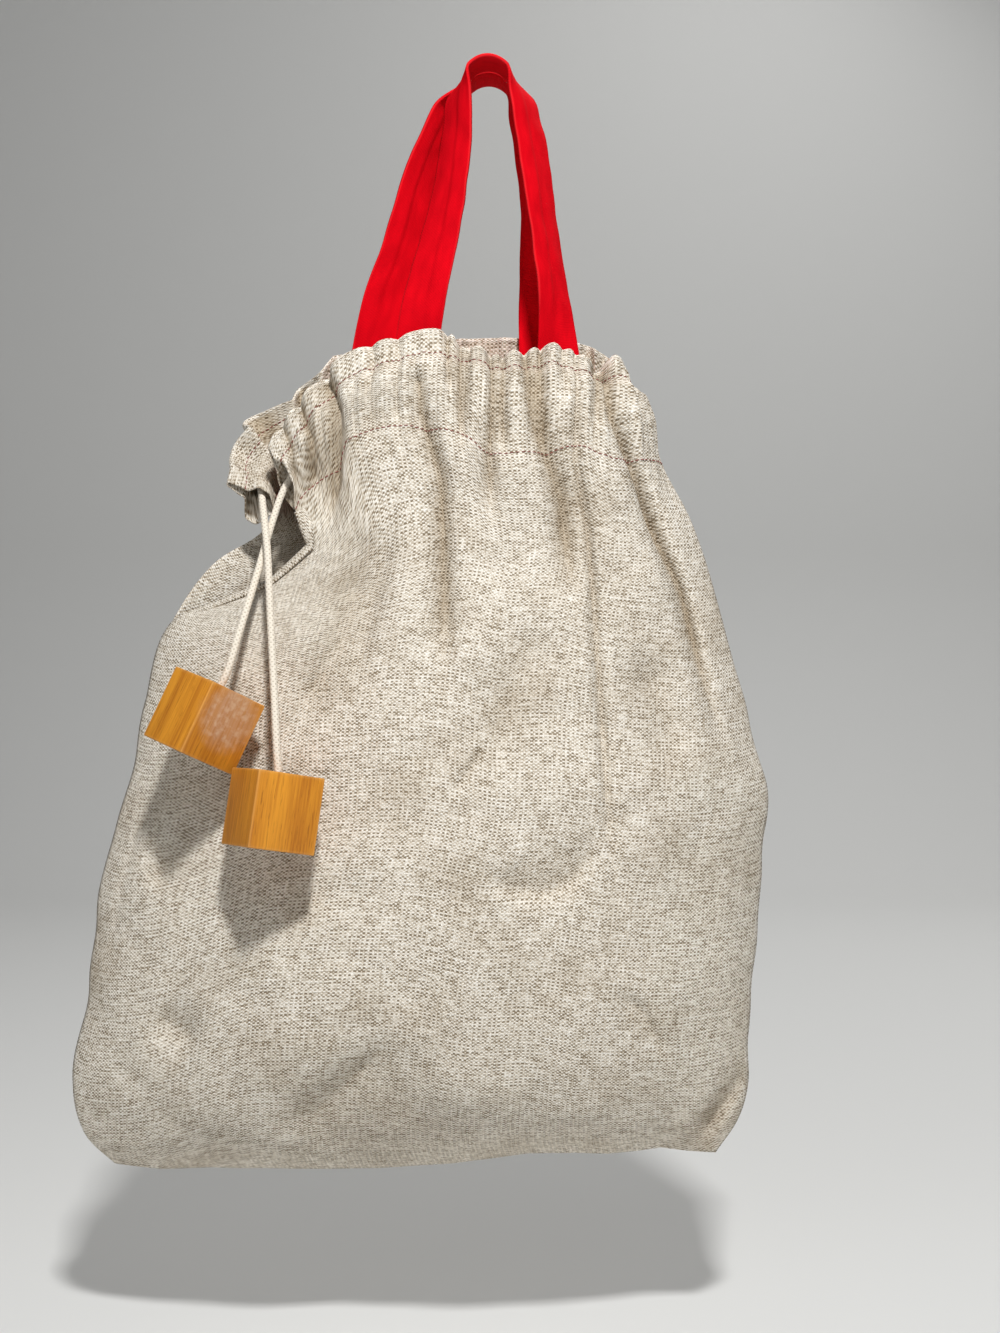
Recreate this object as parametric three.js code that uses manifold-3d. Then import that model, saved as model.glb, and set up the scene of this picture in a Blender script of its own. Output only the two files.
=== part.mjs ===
import * as THREE from 'three';
import { mergeVertices } from 'three/addons/utils/BufferGeometryUtils.js';
import Module from 'manifold-3d';

// A linen drawstring bag that hangs by its two handles.
// Millimetres, +Z up, +X to the viewer's right, the front faces -Y.
// The origin is the hang point, on the underside of the handles.

// Cloth
const LINEN_THICK = 1.5;
const SEAM_GAP = 0.4;
const CASING_DEPTH = 8;
const HEM_CLEARANCE = 0.4;
const FRONT_COLUMNS = 64;
const BACK_COLUMNS = 44;

// Handles
const STRAP_WIDTH = 25;
const STRAP_THICK = 1.2;
const STRAP_COLUMNS = 3;
const STRAP_CLEARANCE = 0.4;
const SADDLE_RADIUS = 12.5;
const SADDLE_STEPS = 8;
const SADDLE_OFFSET = 13.5;

// Cord and blocks
const CORD_DIAMETER = 4;
const CORD_SIDES = 8;
const CORD_STEPS = 80;
const BLOCK_SIDE = 36;
const BLOCK_HEIGHT = 39;
const BORE_DIAMETER = 5.2;
const BORE_SIDES = 16;
const BORE_DEPTH = 14;

const LINEN_COLOUR = 0xd2c6b0;
const STRAP_COLOUR = 0xd40c18;
const CORD_COLOUR = 0xe8e0d2;
const WOOD_COLOUR = 0xcd8531;

const X_AXIS = new THREE.Vector3(1, 0, 0);
const Y_AXIS = new THREE.Vector3(0, 1, 0);
const Z_AXIS = new THREE.Vector3(0, 0, 1);

const { clamp, degToRad, lerp, smoothstep } = THREE.MathUtils;

function table(columns, rows) {
  return rows.map((row) => Object.fromEntries(columns.map((column, i) => [column, row[i]])));
}

// The cord's route: the left block, the front casing from its open end to the right seam,
// the back casing to its open end, and the right block.
const ROUTE = [
  [-142.7, -65.9, -349.4], [-137.2, -64.5, -337.1], [-134.1, -63.6, -330.3], [-129, -56, -310],
  [-121.8, -39, -278], [-114.8, -26.5, -248], [-110, -20, -232], [-99, -18.5, -214], [-88, -18.5, -199], [-73, -20, -187],
  [-55, -22, -179], [-36, -23, -174.5], [-14, -24, -174], [8, -24, -178], [31, -22, -177],
  [54, -19, -181], [71, -14, -184], [79.5, -8, -187], [82, 0, -188], [79.5, 8, -186],
  [71, 15, -182], [54, 19, -176], [30, 21, -171], [0, 22, -169], [-30, 22, -170],
  [-60, 21, -175], [-86, 18, -185], [-106, 13, -197], [-119, 5, -210], [-124, -5, -223],
  [-122, -17, -236], [-119, -30, -250], [-116, -42, -266], [-112.8, -55, -300], [-108.5, -71.5, -345],
  [-106.2, -79.7, -371.5], [-105.4, -81.5, -380.8], [-107.1, -82.9, -394.1],
];
const FRONT_END = 6;
const RIGHT_SEAM = 18;
const BACK_END = 30;
const route = new THREE.CatmullRomCurve3(ROUTE.map((point) => new THREE.Vector3(...point)));

// Heights of the casing's lines above the cord, in the middle of the mouth and at the casing's open end.
const CASING_LINES = table(
  ['name', 'middle', 'frontEnd', 'backEnd'],
  [
    ['rim', 22, 21, 18],
    ['upper stitch', 12, 11, 9],
    ['cord', 0, 0, 0],
    ['lower stitch', -33, -13, -9],
  ],
);
const DROOP_SPAN = 0.3;
const RIGHT_SPAN = 0.3;
const RIGHT_UP = new THREE.Vector3(-0.4, 0, 0.92);

// Sections down the sack below the casing. The edges of the two walls part at the slit and join below it.
const SECTIONS = table(
  ['name', 'frontX', 'frontZ', 'frontLift', 'backX', 'backZ', 'rightX', 'rightZ', 'middleZ', 'dropSpan',
    'frontDepth', 'backDepth'],
  [
    ['slit apex', -91, -263, 0.6, -128, -254, 117, -262, -262, 0.35, 40, 29],
    ['slit foot', -115, -284, 0.35, -152, -270, 127, -296, -300, 0.35, 48, 33],
    ['seam start', -174, -303, 0, -174, -303, 136, -330, -334, 0.35, 54, 36],
    ['shoulder', -188, -345, 0, -188, -345, 146, -364, -368, 0.40, 58, 38],
    ['widest right', -197, -393, 0, -197, -393, 153, -400, -404, 0.40, 61, 39],
    ['upper belly', -210, -433, 0, -210, -433, 151, -437, -440, 0.40, 64, 40],
    ['belly', -217, -477, 0, -217, -477, 147, -480, -480, 0.40, 66, 40],
    ['lower belly', -222, -521, 0, -222, -521, 143, -528, -524, 0.40, 64, 40],
    ['widest left', -227, -555, 0, -227, -555, 141, -556, -560, 0.40, 52, 36],
    ['turn under', -222, -583, 0, -222, -583, 134, -578, -585, 0.35, 28, 22],
    ['bottom seam', -205, -599, 0, -205, -599, 122, -590, -602, 0.50, 1, 1],
  ],
);

// Main dents and folds: a line in the front view, how deep it is and half its width.
const FOLDS = table(
  ['panel', 'fromX', 'fromZ', 'toX', 'toZ', 'depth', 'halfWidth'],
  [
    ['front', -26, -205, -22, -335, 9, 13],
    ['front', 46, -210, 53, -256, 7, 13],
    ['front', 53, -256, 39, -330, 6, 15],
    ['front', -60, -262, -105, -368, 7, 16],
    ['front', 2, -440, 55, -415, 6, 13],
    ['front', -190, -420, -165, -520, 5, 16],
    ['back', -70, -205, -95, -360, 6, 16],
    ['back', -5, -205, 0, -330, 7, 16],
    ['back', 45, -205, 70, -370, 6, 16],
  ],
);

const PANELS = {
  front: {
    facing: -1,
    casingEnd: FRONT_END,
    endColumn: 'frontEnd',
    endUp: new THREE.Vector3(-0.4, 0, 0.92),
    columns: FRONT_COLUMNS,
    ruffles: 14,
    edgeX: 'frontX',
    edgeZ: 'frontZ',
    edgeLift: 'frontLift',
    depth: 'frontDepth',
  },
  back: {
    facing: 1,
    casingEnd: BACK_END,
    endColumn: 'backEnd',
    endUp: new THREE.Vector3(-0.85, 0, 0.52),
    columns: BACK_COLUMNS,
    ruffles: 9,
    edgeX: 'backX',
    edgeZ: 'backZ',
    depth: 'backDepth',
  },
};

// The cord's place and directions at a share u of the casing, from its open left end to the right seam.
function mouthFrame(panel, u) {
  const index = lerp(panel.casingEnd, RIGHT_SEAM, u);
  const place = index / (ROUTE.length - 1);
  const centre = route.getPoint(place);
  const along = route.getTangent(place).multiplyScalar(Math.sign(RIGHT_SEAM - panel.casingEnd));
  const up = panel.endUp.clone().lerp(Z_AXIS, smoothstep(u, 0, DROOP_SPAN));
  up.lerp(RIGHT_UP, smoothstep(u, 1 - RIGHT_SPAN, 1)).normalize();
  const out = along.clone().cross(up).multiplyScalar(-panel.facing).normalize();
  return { centre, up, out };
}

// A point of the casing: height above the cord in the middle of the mouth, and offset outwards.
function casingPoint(panel, u, line, offset) {
  const { centre, up, out } = mouthFrame(panel, u);
  const height = lerp(line[panel.endColumn], line.middle, smoothstep(u, 0, DROOP_SPAN));
  return centre.addScaledVector(up, height).addScaledVector(out, offset);
}

// How far a wall bulges at a share u of its width: full in the middle, rounded at the seams.
const BULGE_FLATNESS = 2.4;
const BULGE_ROUNDNESS = 0.75;
const SLIT_SPAN = 0.45;
function bulge(u) {
  return (1 - Math.abs(2 * u - 1) ** BULGE_FLATNESS) ** BULGE_ROUNDNESS;
}

function sectionPoint(panel, u, section) {
  const edgeX = section[panel.edgeX];
  const edgeZ = section[panel.edgeZ];
  const lift = (section[panel.edgeLift] ?? 0) * (1 - smoothstep(u, 0, section.dropSpan));
  const seamY = (panel.facing * (SEAM_GAP + LINEN_THICK)) / 2;
  const slitShift = (edgeX - section.backX) * Math.max(0, 1 - u / SLIT_SPAN) ** 2;
  const leftDrop = Math.max(0, 1 - u / section.dropSpan) ** 2;
  const rightDrop = Math.max(0, (u - 1) / section.dropSpan + 1) ** 2;
  const leftZ = (edgeZ - section.middleZ) * leftDrop;
  const rightZ = (section.rightZ - section.middleZ) * rightDrop;
  const y = seamY + panel.facing * section[panel.depth] * lerp(bulge(u), 1, lift);
  const x = lerp(section.backX, section.rightX, u) + slitShift;
  return new THREE.Vector3(x, y, section.middleZ + leftZ + rightZ);
}

// The wall without folds at a share u of its width: a smooth line from the rim down to the bottom seam.
function wallLine(panel, u) {
  const points = CASING_LINES.map((line) => casingPoint(panel, u, line, CASING_DEPTH / 2));
  points.push(...SECTIONS.map((section) => sectionPoint(panel, u, section)));
  return new THREE.CatmullRomCurve3(points);
}

// How far the gathers move a point of the wall outwards. They sway a little along the casing,
// die out below the lower stitch and end at the right seam.
const RUFFLE_HEIGHT = 4.5;
const RUFFLE_FADE = 110;
const RUFFLE_BEAT = 3;
const RUFFLE_SWAY = 0.35;
const RUFFLE_SEAM_SPAN = 0.04;
function gather(panel, u, drop) {
  const sway = RUFFLE_SWAY * Math.sin(2 * Math.PI * RUFFLE_BEAT * u);
  const wave = (1 - Math.cos(2 * Math.PI * (panel.ruffles * u + sway))) / 2;
  const fade = Math.max(0, 1 - drop / RUFFLE_FADE) ** 2;
  return RUFFLE_HEIGHT * fade * wave * smoothstep(1 - u, 0, RUFFLE_SEAM_SPAN);
}

// How far the dents and folds move a point of the wall inwards. Each grows shallower along its line.
const FOLD_TAPER = 0.6;
function foldDepth(name, x, z) {
  let depth = 0;
  for (const fold of FOLDS.filter((row) => row.panel === name)) {
    const run = new THREE.Vector2(fold.toX - fold.fromX, fold.toZ - fold.fromZ);
    const offset = new THREE.Vector2(x - fold.fromX, z - fold.fromZ);
    const share = clamp(offset.dot(run) / run.lengthSq(), 0, 1);
    const distance = offset.addScaledVector(run, -share).length();
    depth += fold.depth * Math.exp(-((distance / fold.halfWidth) ** 2)) * (1 - FOLD_TAPER * share);
  }
  return depth;
}

// A sheet with thickness from a grid of mid-surface points: two faces and the edges between them.
function sheetSolid(grid, thickness, keep) {
  const rows = grid.length;
  const columns = grid[0].length;
  const positions = [];
  for (const side of [1, -1]) {
    for (let r = 0; r < rows; r += 1) {
      for (let c = 0; c < columns; c += 1) {
        const across = grid[r][Math.min(c + 1, columns - 1)].clone().sub(grid[r][Math.max(c - 1, 0)]);
        const down = grid[Math.min(r + 1, rows - 1)][c].clone().sub(grid[Math.max(r - 1, 0)][c]);
        const normal = across.cross(down).normalize();
        const point = grid[r][c].clone().addScaledVector(normal, (side * thickness) / 2);
        positions.push(...keep(point, r, c).toArray());
      }
    }
  }
  const face = rows * columns;
  const at = (r, c) => r * columns + c;
  const index = [];
  for (let r = 0; r < rows - 1; r += 1) {
    for (let c = 0; c < columns - 1; c += 1) {
      const [a, b, d, e] = [at(r, c), at(r, c + 1), at(r + 1, c), at(r + 1, c + 1)];
      index.push(a, b, d, b, e, d);
      index.push(face + a, face + d, face + b, face + b, face + d, face + e);
    }
  }
  const border = [];
  for (let c = 0; c < columns - 1; c += 1) border.push(at(0, c));
  for (let r = 0; r < rows - 1; r += 1) border.push(at(r, columns - 1));
  for (let c = columns - 1; c > 0; c -= 1) border.push(at(rows - 1, c));
  for (let r = rows - 1; r > 0; r -= 1) border.push(at(r, 0));
  border.forEach((a, i) => {
    const b = border[(i + 1) % border.length];
    index.push(a, face + a, b, b, face + a, face + b);
  });
  const geometry = new THREE.BufferGeometry();
  geometry.setAttribute('position', new THREE.Float32BufferAttribute(positions, 3));
  geometry.setIndex(index);
  geometry.computeVertexNormals();
  return geometry;
}

// The hem turned over to the inside, from its sewn lower edge up to the rim's fold.
const HEM_LINES = table(
  ['name', 'middle', 'frontEnd', 'backEnd', 'offset'],
  [
    ['sewn edge', -31, -12, -8, CASING_DEPTH / 2 - LINEN_THICK - HEM_CLEARANCE],
    ['low', -24, -3, -1, -CASING_DEPTH / 2],
    ['high', 17, 16, 13, -CASING_DEPTH / 2],
    ['crest', 21, 20, 17, -1],
  ],
);

// Places down the wall line, counted in its control points from the rim at 0.
const WALL_PLACES = [0.15, 1, 2, 3, 3.5, 4, 5, 6, 7, 8, 9, 10, 11, 12, 13, 14];
const STITCH_PLACE = CASING_LINES.length - 1;
const SEAM_START_PLACE = 6;
const LAST_PLACE = CASING_LINES.length + SECTIONS.length - 1;

// Places over which the folds grow below the stitch and die out above the bottom seam, and over which
// the direction of the gathers turns from the casing's to straight out of the sack.
const FOLD_START_SPAN = 1.5;
const FOLD_END_SPAN = 2;
const TURN_START = STITCH_PLACE - 1;
const TURN_END = STITCH_PLACE + 2;
const SEAM_FADE = 8;

function panelGrid(name) {
  const panel = PANELS[name];
  const grid = [];
  const shares = Array.from({ length: panel.columns + 1 }, (_, c) => c / panel.columns);
  for (const line of HEM_LINES) {
    grid.push(shares.map((u) => casingPoint(panel, u, line, line.offset)));
  }
  const lines = shares.map((u) => wallLine(panel, u));
  for (const place of WALL_PLACES) {
    const share = place / LAST_PLACE;
    grid.push(lines.map((line, c) => {
      const point = line.getPoint(share);
      const drop = Math.max(0, line.getPoint(STITCH_PLACE / LAST_PLACE).z - point.z);
      const { out } = mouthFrame(panel, shares[c]);
      const bodyOut = new THREE.Vector3(0, panel.facing, 0);
      const direction = out.lerp(bodyOut, smoothstep(place, TURN_START, TURN_END)).normalize();
      const seamFade = Math.min(1, SEAM_FADE * shares[c] * (1 - shares[c]));
      const stitchFade = smoothstep(place, STITCH_PLACE, STITCH_PLACE + FOLD_START_SPAN);
      const bottomFade = 1 - smoothstep(place, LAST_PLACE - FOLD_END_SPAN, LAST_PLACE);
      const fold = foldDepth(name, point.x, point.z) * seamFade * stitchFade * bottomFade;
      return point.addScaledVector(direction, gather(panel, shares[c], drop) - fold);
    }));
  }
  return grid;
}

// A wall of the bag, kept on its own side of the seams. The back's columns run from right to left.
function linenPanel(name) {
  const { facing, columns } = PANELS[name];
  const grid = panelGrid(name);
  if (facing > 0) grid.forEach((row) => row.reverse());
  const seamRow = HEM_LINES.length + WALL_PLACES.indexOf(SEAM_START_PLACE);
  const keepSide = (point, row, column) => {
    const fromLeft = facing > 0 ? columns - column : column;
    const sewn = row >= seamRow || fromLeft > columns / 2;
    if (sewn && point.y * facing < SEAM_GAP / 2) point.y = (facing * SEAM_GAP) / 2;
    return point;
  };
  return sheetSolid(grid, LINEN_THICK, keepSide);
}

// The legs of the handles between the rim and the saddle: the middle of the strap, and how far
// its width is turned from facing the viewer to edge-on.
const LEG_COLUMNS = ['x', 'y', 'z', 'turn'];
const HANDLES = {
  front: {
    panel: PANELS.front,
    left: {
      footX: -34,
      rows: table(LEG_COLUMNS, [
        [-33, -14, -128, 18],
        [-28, -14, -101, 30],
        [-23, -14, -74, 42],
        [-17.5, -14, -45, 60],
      ]),
    },
    right: {
      footX: 40,
      rows: table(LEG_COLUMNS, [
        [36, -13, -128, -30],
        [32, -13, -101, -46],
        [28, -13, -74, -52],
        [22, -13, -45, -64],
      ]),
    },
  },
  back: {
    panel: PANELS.back,
    left: {
      footX: -64,
      rows: table(LEG_COLUMNS, [
        [-57, 13, -122, 18],
        [-49, 13, -95, 30],
        [-41, 13, -67, 42],
        [-29, 13, -38, 60],
      ]),
    },
    right: {
      footX: 30,
      rows: table(LEG_COLUMNS, [
        [28, 13, -122, -30],
        [26, 13, -95, -46],
        [24, 13, -67, -52],
        [20, 13, -38, -64],
      ]),
    },
  },
};
const FOOT_HEIGHTS = [-6, 6, 17];
const FOOT_OFFSET = -(CASING_DEPTH / 2 + LINEN_THICK / 2 + STRAP_CLEARANCE + STRAP_THICK / 2);

// Distances across a strap, from one edge to the other.
const STRAP_ACROSS = Array.from(
  { length: STRAP_COLUMNS + 1 },
  (_, c) => (c / STRAP_COLUMNS - 1 / 2) * STRAP_WIDTH,
);

// One cross row of a strap, with its width laid along a direction.
function strapRow(centre, width) {
  return STRAP_ACROSS.map((across) => centre.clone().addScaledVector(width, across));
}

// The share of a casing's length at which it lies at a place across the bag.
const SHARE_HALVINGS = 20;
function shareAt(panel, x) {
  let [low, high] = [0, 1];
  for (let i = 0; i < SHARE_HALVINGS; i += 1) {
    const middle = (low + high) / 2;
    if (mouthFrame(panel, middle).centre.x < x) low = middle;
    else high = middle;
  }
  return low;
}

// The foot of a leg lies on the turned-over hem and follows its curve. Above the rim the strap is free.
function legRows(panel, leg) {
  const rows = FOOT_HEIGHTS.map((height) => {
    const line = { middle: height, [panel.endColumn]: height };
    return STRAP_ACROSS.map((across) => {
      const u = shareAt(panel, leg.footX + across);
      return casingPoint(panel, u, line, FOOT_OFFSET);
    });
  });
  for (const row of leg.rows) {
    const width = X_AXIS.clone().applyAxisAngle(Z_AXIS, degToRad(row.turn));
    rows.push(strapRow(new THREE.Vector3(row.x, row.y, row.z), width));
  }
  return rows;
}

function strapHandle(handle) {
  const { panel, left, right } = handle;
  const rows = legRows(panel, left);
  for (let i = 0; i <= SADDLE_STEPS; i += 1) {
    const angle = Math.PI * (1 - i / SADDLE_STEPS);
    const radius = SADDLE_RADIUS + STRAP_THICK / 2;
    const x = radius * Math.cos(angle);
    const z = radius * Math.sin(angle) - SADDLE_RADIUS;
    rows.push(strapRow(new THREE.Vector3(x, panel.facing * SADDLE_OFFSET, z), Y_AXIS));
  }
  rows.push(...legRows(panel, right).reverse().map((row) => row.reverse()));
  return sheetSolid(rows, STRAP_THICK, (point) => point);
}

function drawstring() {
  const section = new THREE.Shape();
  for (let i = 0; i < CORD_SIDES; i += 1) {
    const angle = (2 * Math.PI * i) / CORD_SIDES;
    const radius = CORD_DIAMETER / 2;
    if (i === 0) section.moveTo(radius, 0);
    else section.lineTo(radius * Math.cos(angle), radius * Math.sin(angle));
  }
  section.closePath();
  return new THREE.ExtrudeGeometry(section, { steps: CORD_STEPS, bevelEnabled: false, extrudePath: route });
}

const wasm = await Module();
wasm.setup();

function toManifold(geometry) {
  const plain = geometry.clone();
  plain.deleteAttribute('normal');
  plain.deleteAttribute('uv');
  const merged = mergeVertices(plain);
  return new wasm.Manifold(new wasm.Mesh({
    numProp: 3,
    vertProperties: merged.attributes.position.array,
    triVerts: new Uint32Array(merged.index.array),
  }));
}

function fromManifold(solid) {
  const mesh = solid.getMesh();
  const geometry = new THREE.BufferGeometry();
  geometry.setAttribute('position', new THREE.Float32BufferAttribute(mesh.vertProperties, 3));
  geometry.setIndex(Array.from(mesh.triVerts));
  geometry.computeVertexNormals();
  return geometry;
}

// A wooden block, with a blind bore down from the middle of its top for the cord's end.
function boredBlock() {
  const block = new THREE.BoxGeometry(BLOCK_SIDE, BLOCK_SIDE, BLOCK_HEIGHT);
  const bore = new THREE.CylinderGeometry(BORE_DIAMETER / 2, BORE_DIAMETER / 2, 2 * BORE_DEPTH, BORE_SIDES);
  bore.rotateX(Math.PI / 2);
  bore.translate(0, 0, BLOCK_HEIGHT / 2);
  return fromManifold(toManifold(block).subtract(toManifold(bore)));
}

const linen = new THREE.MeshStandardMaterial({ color: LINEN_COLOUR, roughness: 0.9, metalness: 0 });
const cotton = new THREE.MeshStandardMaterial({ color: STRAP_COLOUR, roughness: 0.8, metalness: 0 });
const braid = new THREE.MeshStandardMaterial({ color: CORD_COLOUR, roughness: 0.85, metalness: 0 });
const wood = new THREE.MeshStandardMaterial({ color: WOOD_COLOUR, roughness: 0.45, metalness: 0 });

const bag = new THREE.Group();

function addPiece(name, geometry, material) {
  const mesh = new THREE.Mesh(geometry, material);
  mesh.name = name;
  bag.add(mesh);
  return mesh;
}

addPiece('front_panel', linenPanel('front'), linen.clone());
addPiece('back_panel', linenPanel('back'), linen.clone());
addPiece('handle_front', strapHandle(HANDLES.front), cotton.clone());
addPiece('handle_back', strapHandle(HANDLES.back), cotton.clone());
addPiece('drawstring', drawstring(), braid);

// Each block hangs in line with its cord: turned about the cord, then leaning to the right and back.
const BLOCKS = table(
  ['name', 'x', 'y', 'z', 'turn', 'lean', 'back'],
  [
    ['cube_left', -145.2, -66.5, -354.8, 43.5, 24.3, 6],
    ['cube_right', -107.9, -83.5, -400, 29.5, 7.5, 6],
  ],
);
for (const row of BLOCKS) {
  const block = addPiece(row.name, boredBlock(), wood.clone());
  const lean = new THREE.Quaternion().setFromAxisAngle(Y_AXIS, degToRad(row.lean));
  const turn = new THREE.Quaternion().setFromAxisAngle(Z_AXIS, degToRad(row.turn));
  const back = new THREE.Quaternion().setFromAxisAngle(X_AXIS, degToRad(-row.back));
  block.quaternion.copy(lean.multiply(back).multiply(turn));
  block.position.set(row.x, row.y, row.z);
}

export default bag;
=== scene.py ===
import math

import bpy
import numpy as np
from mathutils import Matrix, Vector, noise


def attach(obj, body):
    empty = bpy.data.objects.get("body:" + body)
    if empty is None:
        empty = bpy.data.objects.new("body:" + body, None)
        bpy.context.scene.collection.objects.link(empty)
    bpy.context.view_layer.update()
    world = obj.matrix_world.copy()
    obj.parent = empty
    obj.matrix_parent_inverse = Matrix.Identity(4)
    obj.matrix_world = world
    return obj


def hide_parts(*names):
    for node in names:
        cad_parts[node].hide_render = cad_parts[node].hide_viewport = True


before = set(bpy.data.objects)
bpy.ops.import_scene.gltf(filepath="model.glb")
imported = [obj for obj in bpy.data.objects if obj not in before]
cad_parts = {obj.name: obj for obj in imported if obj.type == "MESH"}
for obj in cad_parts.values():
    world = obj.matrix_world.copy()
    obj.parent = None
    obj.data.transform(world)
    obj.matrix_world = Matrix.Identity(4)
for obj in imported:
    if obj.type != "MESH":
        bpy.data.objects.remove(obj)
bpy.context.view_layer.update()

# Camera
# The bag is seen level from a metre in front, at the height of the sack's shoulder.
# The focal length and the picture's height are in pixels of the reference picture.
CAMERA_PLACE = (0.0066, -1.0, -0.327)
FOCAL_PIXELS = 1818
PICTURE_HEIGHT = 1333

bpy.ops.object.select_all(action="DESELECT")
bpy.ops.object.camera_add(location=CAMERA_PLACE, rotation=(math.pi / 2, 0, 0))
camera = bpy.context.object
camera.data.lens = camera.data.sensor_width * FOCAL_PIXELS / PICTURE_HEIGHT
bpy.context.scene.camera = camera


# Drawstring
# One white cotton cord, braided from eight strands, about 4 mm thick. It runs through both casings
# of the mouth, and its two ends hang out at the left slit, each fixed in the bore of a wooden block.
CORD_DIAMETER = 0.004
BRAID_REPEAT = 0.0027
STRANDS_EACH_WAY = 4
BRAID_RELIEF = 0.16
CORD_STEP = 0.00045
CORD_SIDES = 20
CORD_LIGHT = "#e8dfd0"
CORD_SHADE = "#b0a48f"
COTTON_FUZZ = 0.0012
LINE_SAMPLES = 4000

ROUTE = np.array([
    (-0.1427, -0.0659, -0.3494), (-0.1372, -0.0645, -0.3371), (-0.1341, -0.0636, -0.3303),
    (-0.129, -0.056, -0.310), (-0.1218, -0.039, -0.278), (-0.1148, -0.0265, -0.248),
    (-0.110, -0.020, -0.232), (-0.099, -0.0185, -0.214), (-0.088, -0.0185, -0.199),
    (-0.073, -0.020, -0.187), (-0.055, -0.022, -0.179), (-0.036, -0.023, -0.1745),
    (-0.014, -0.024, -0.174), (0.008, -0.024, -0.178), (0.031, -0.022, -0.177),
    (0.054, -0.019, -0.181), (0.071, -0.014, -0.184), (0.0795, -0.008, -0.187),
    (0.082, 0.000, -0.188), (0.0795, 0.008, -0.186), (0.071, 0.015, -0.182),
    (0.054, 0.019, -0.176), (0.030, 0.021, -0.171), (0.000, 0.022, -0.169),
    (-0.030, 0.022, -0.170), (-0.060, 0.021, -0.175), (-0.086, 0.018, -0.185),
    (-0.106, 0.013, -0.197), (-0.119, 0.005, -0.210), (-0.124, -0.005, -0.223),
    (-0.122, -0.017, -0.236), (-0.119, -0.030, -0.250), (-0.116, -0.042, -0.266),
    (-0.1128, -0.055, -0.300), (-0.1085, -0.0715, -0.345), (-0.1062, -0.0797, -0.3715),
    (-0.1054, -0.0815, -0.3808), (-0.1071, -0.0829, -0.3941),
])
FRONT_END = 6
RIGHT_SEAM = 18
BACK_END = 30


def smooth_line(points, places):
    """A smooth line through points, along their first axis, at places that count the points."""
    points = np.asarray(points, float)
    before = 2 * points[0] - points[1]
    after = 2 * points[-1] - points[-2]
    padded = np.concatenate([before[None], points, after[None]])
    places = np.asarray(places, float)
    index = np.clip(np.floor(places).astype(int), 0, len(points) - 2)
    share = (places - index).reshape((-1,) + (1,) * (points.ndim - 1))
    p0, p1, p2, p3 = (padded[index + k] for k in range(4))
    d0, d1, d2 = (
        np.maximum(np.linalg.norm(b - a, axis=-1, keepdims=True), 1e-9) ** 0.5
        for a, b in ((p0, p1), (p1, p2), (p2, p3))
    )
    m1 = ((p1 - p0) / d0 - (p2 - p0) / (d0 + d1) + (p2 - p1) / d1) * d1
    m2 = ((p2 - p1) / d1 - (p3 - p1) / (d1 + d2) + (p3 - p2) / d2) * d1
    square, cube = share**2, share**3
    ends = (2 * cube - 3 * square + 1) * p1 + (3 * square - 2 * cube) * p2
    return ends + (cube - 2 * square + share) * m1 + (cube - square) * m2


def run_of(line):
    """The length along a line up to each of its points."""
    return np.concatenate([[0], np.cumsum(np.linalg.norm(np.diff(line, axis=0), axis=1))])


def spaced_line(line, step):
    """The line again, with points at even steps along it."""
    run = run_of(line)
    at = np.linspace(0, run[-1], max(2, round(run[-1] / step) + 1))
    return np.stack([np.interp(at, run, line[:, k]) for k in range(3)], axis=1)


def unit(vectors):
    return vectors / np.maximum(np.linalg.norm(vectors, axis=-1, keepdims=True), 1e-12)


def line_frames(line):
    """Two directions square to a line at each of its points, turning as little as they can."""
    along = unit(np.gradient(line, axis=0))
    side = np.zeros_like(line)
    side[0] = unit(np.cross(along[0], (0.0, 1.0, 0.0)))
    for i in range(1, len(line)):
        side[i] = unit(side[i - 1] - along[i] * (side[i - 1] @ along[i]))
    return side, np.cross(along, side)


def grid_piece(name, points):
    """A sheet of faces through a grid of points, given as rows of columns."""
    rows, columns = points.shape[:2]
    bpy.ops.object.select_all(action="DESELECT")
    bpy.ops.mesh.primitive_grid_add(x_subdivisions=columns - 1, y_subdivisions=rows - 1, size=1)
    piece = bpy.context.object
    piece.name = piece.data.name = name
    piece.data.vertices.foreach_set("co", points.astype(np.float32).ravel())
    piece.data.update()
    bpy.ops.object.shade_smooth()
    return piece


def set_values(piece, name, values):
    """Writes one number for each vertex, which a material can read by name."""
    layer = piece.data.attributes.new(name, "FLOAT", "POINT")
    layer.data.foreach_set("value", values.astype(np.float32).ravel())


def set_active(piece):
    bpy.ops.object.select_all(action="DESELECT")
    piece.select_set(True)
    bpy.context.view_layer.objects.active = piece


def merge_doubles(piece):
    set_active(piece)
    bpy.ops.object.mode_set(mode="EDIT")
    bpy.ops.mesh.select_all(action="SELECT")
    bpy.ops.mesh.remove_doubles(threshold=1e-6)
    bpy.ops.mesh.normals_make_consistent(inside=False)
    bpy.ops.object.mode_set(mode="OBJECT")


def linear(code):
    """An sRGB hex colour as linear red, green, blue and alpha."""
    parts = [int(code[i:i + 2], 16) / 255 for i in (1, 3, 5)]
    return tuple(c / 12.92 if c <= 0.04045 else ((c + 0.055) / 1.055) ** 2.4 for c in parts) + (1.0,)


def set_inputs(tree, node, inputs):
    """Sets a node's inputs. One that is given another node's output is linked to it."""
    for socket, value in inputs.items():
        if isinstance(value, bpy.types.NodeSocket):
            tree.links.new(value, node.inputs[socket])
        else:
            node.inputs[socket].default_value = value


def add_node(tree, kind, inputs=None, out=0, **settings):
    """One output of a new node with its inputs and settings, or all of its outputs."""
    node = tree.nodes.new("ShaderNode" + kind)
    for name, value in settings.items():
        setattr(node, name, value)
    set_inputs(tree, node, inputs or {})
    return node.outputs if out is None else node.outputs[out]


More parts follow.
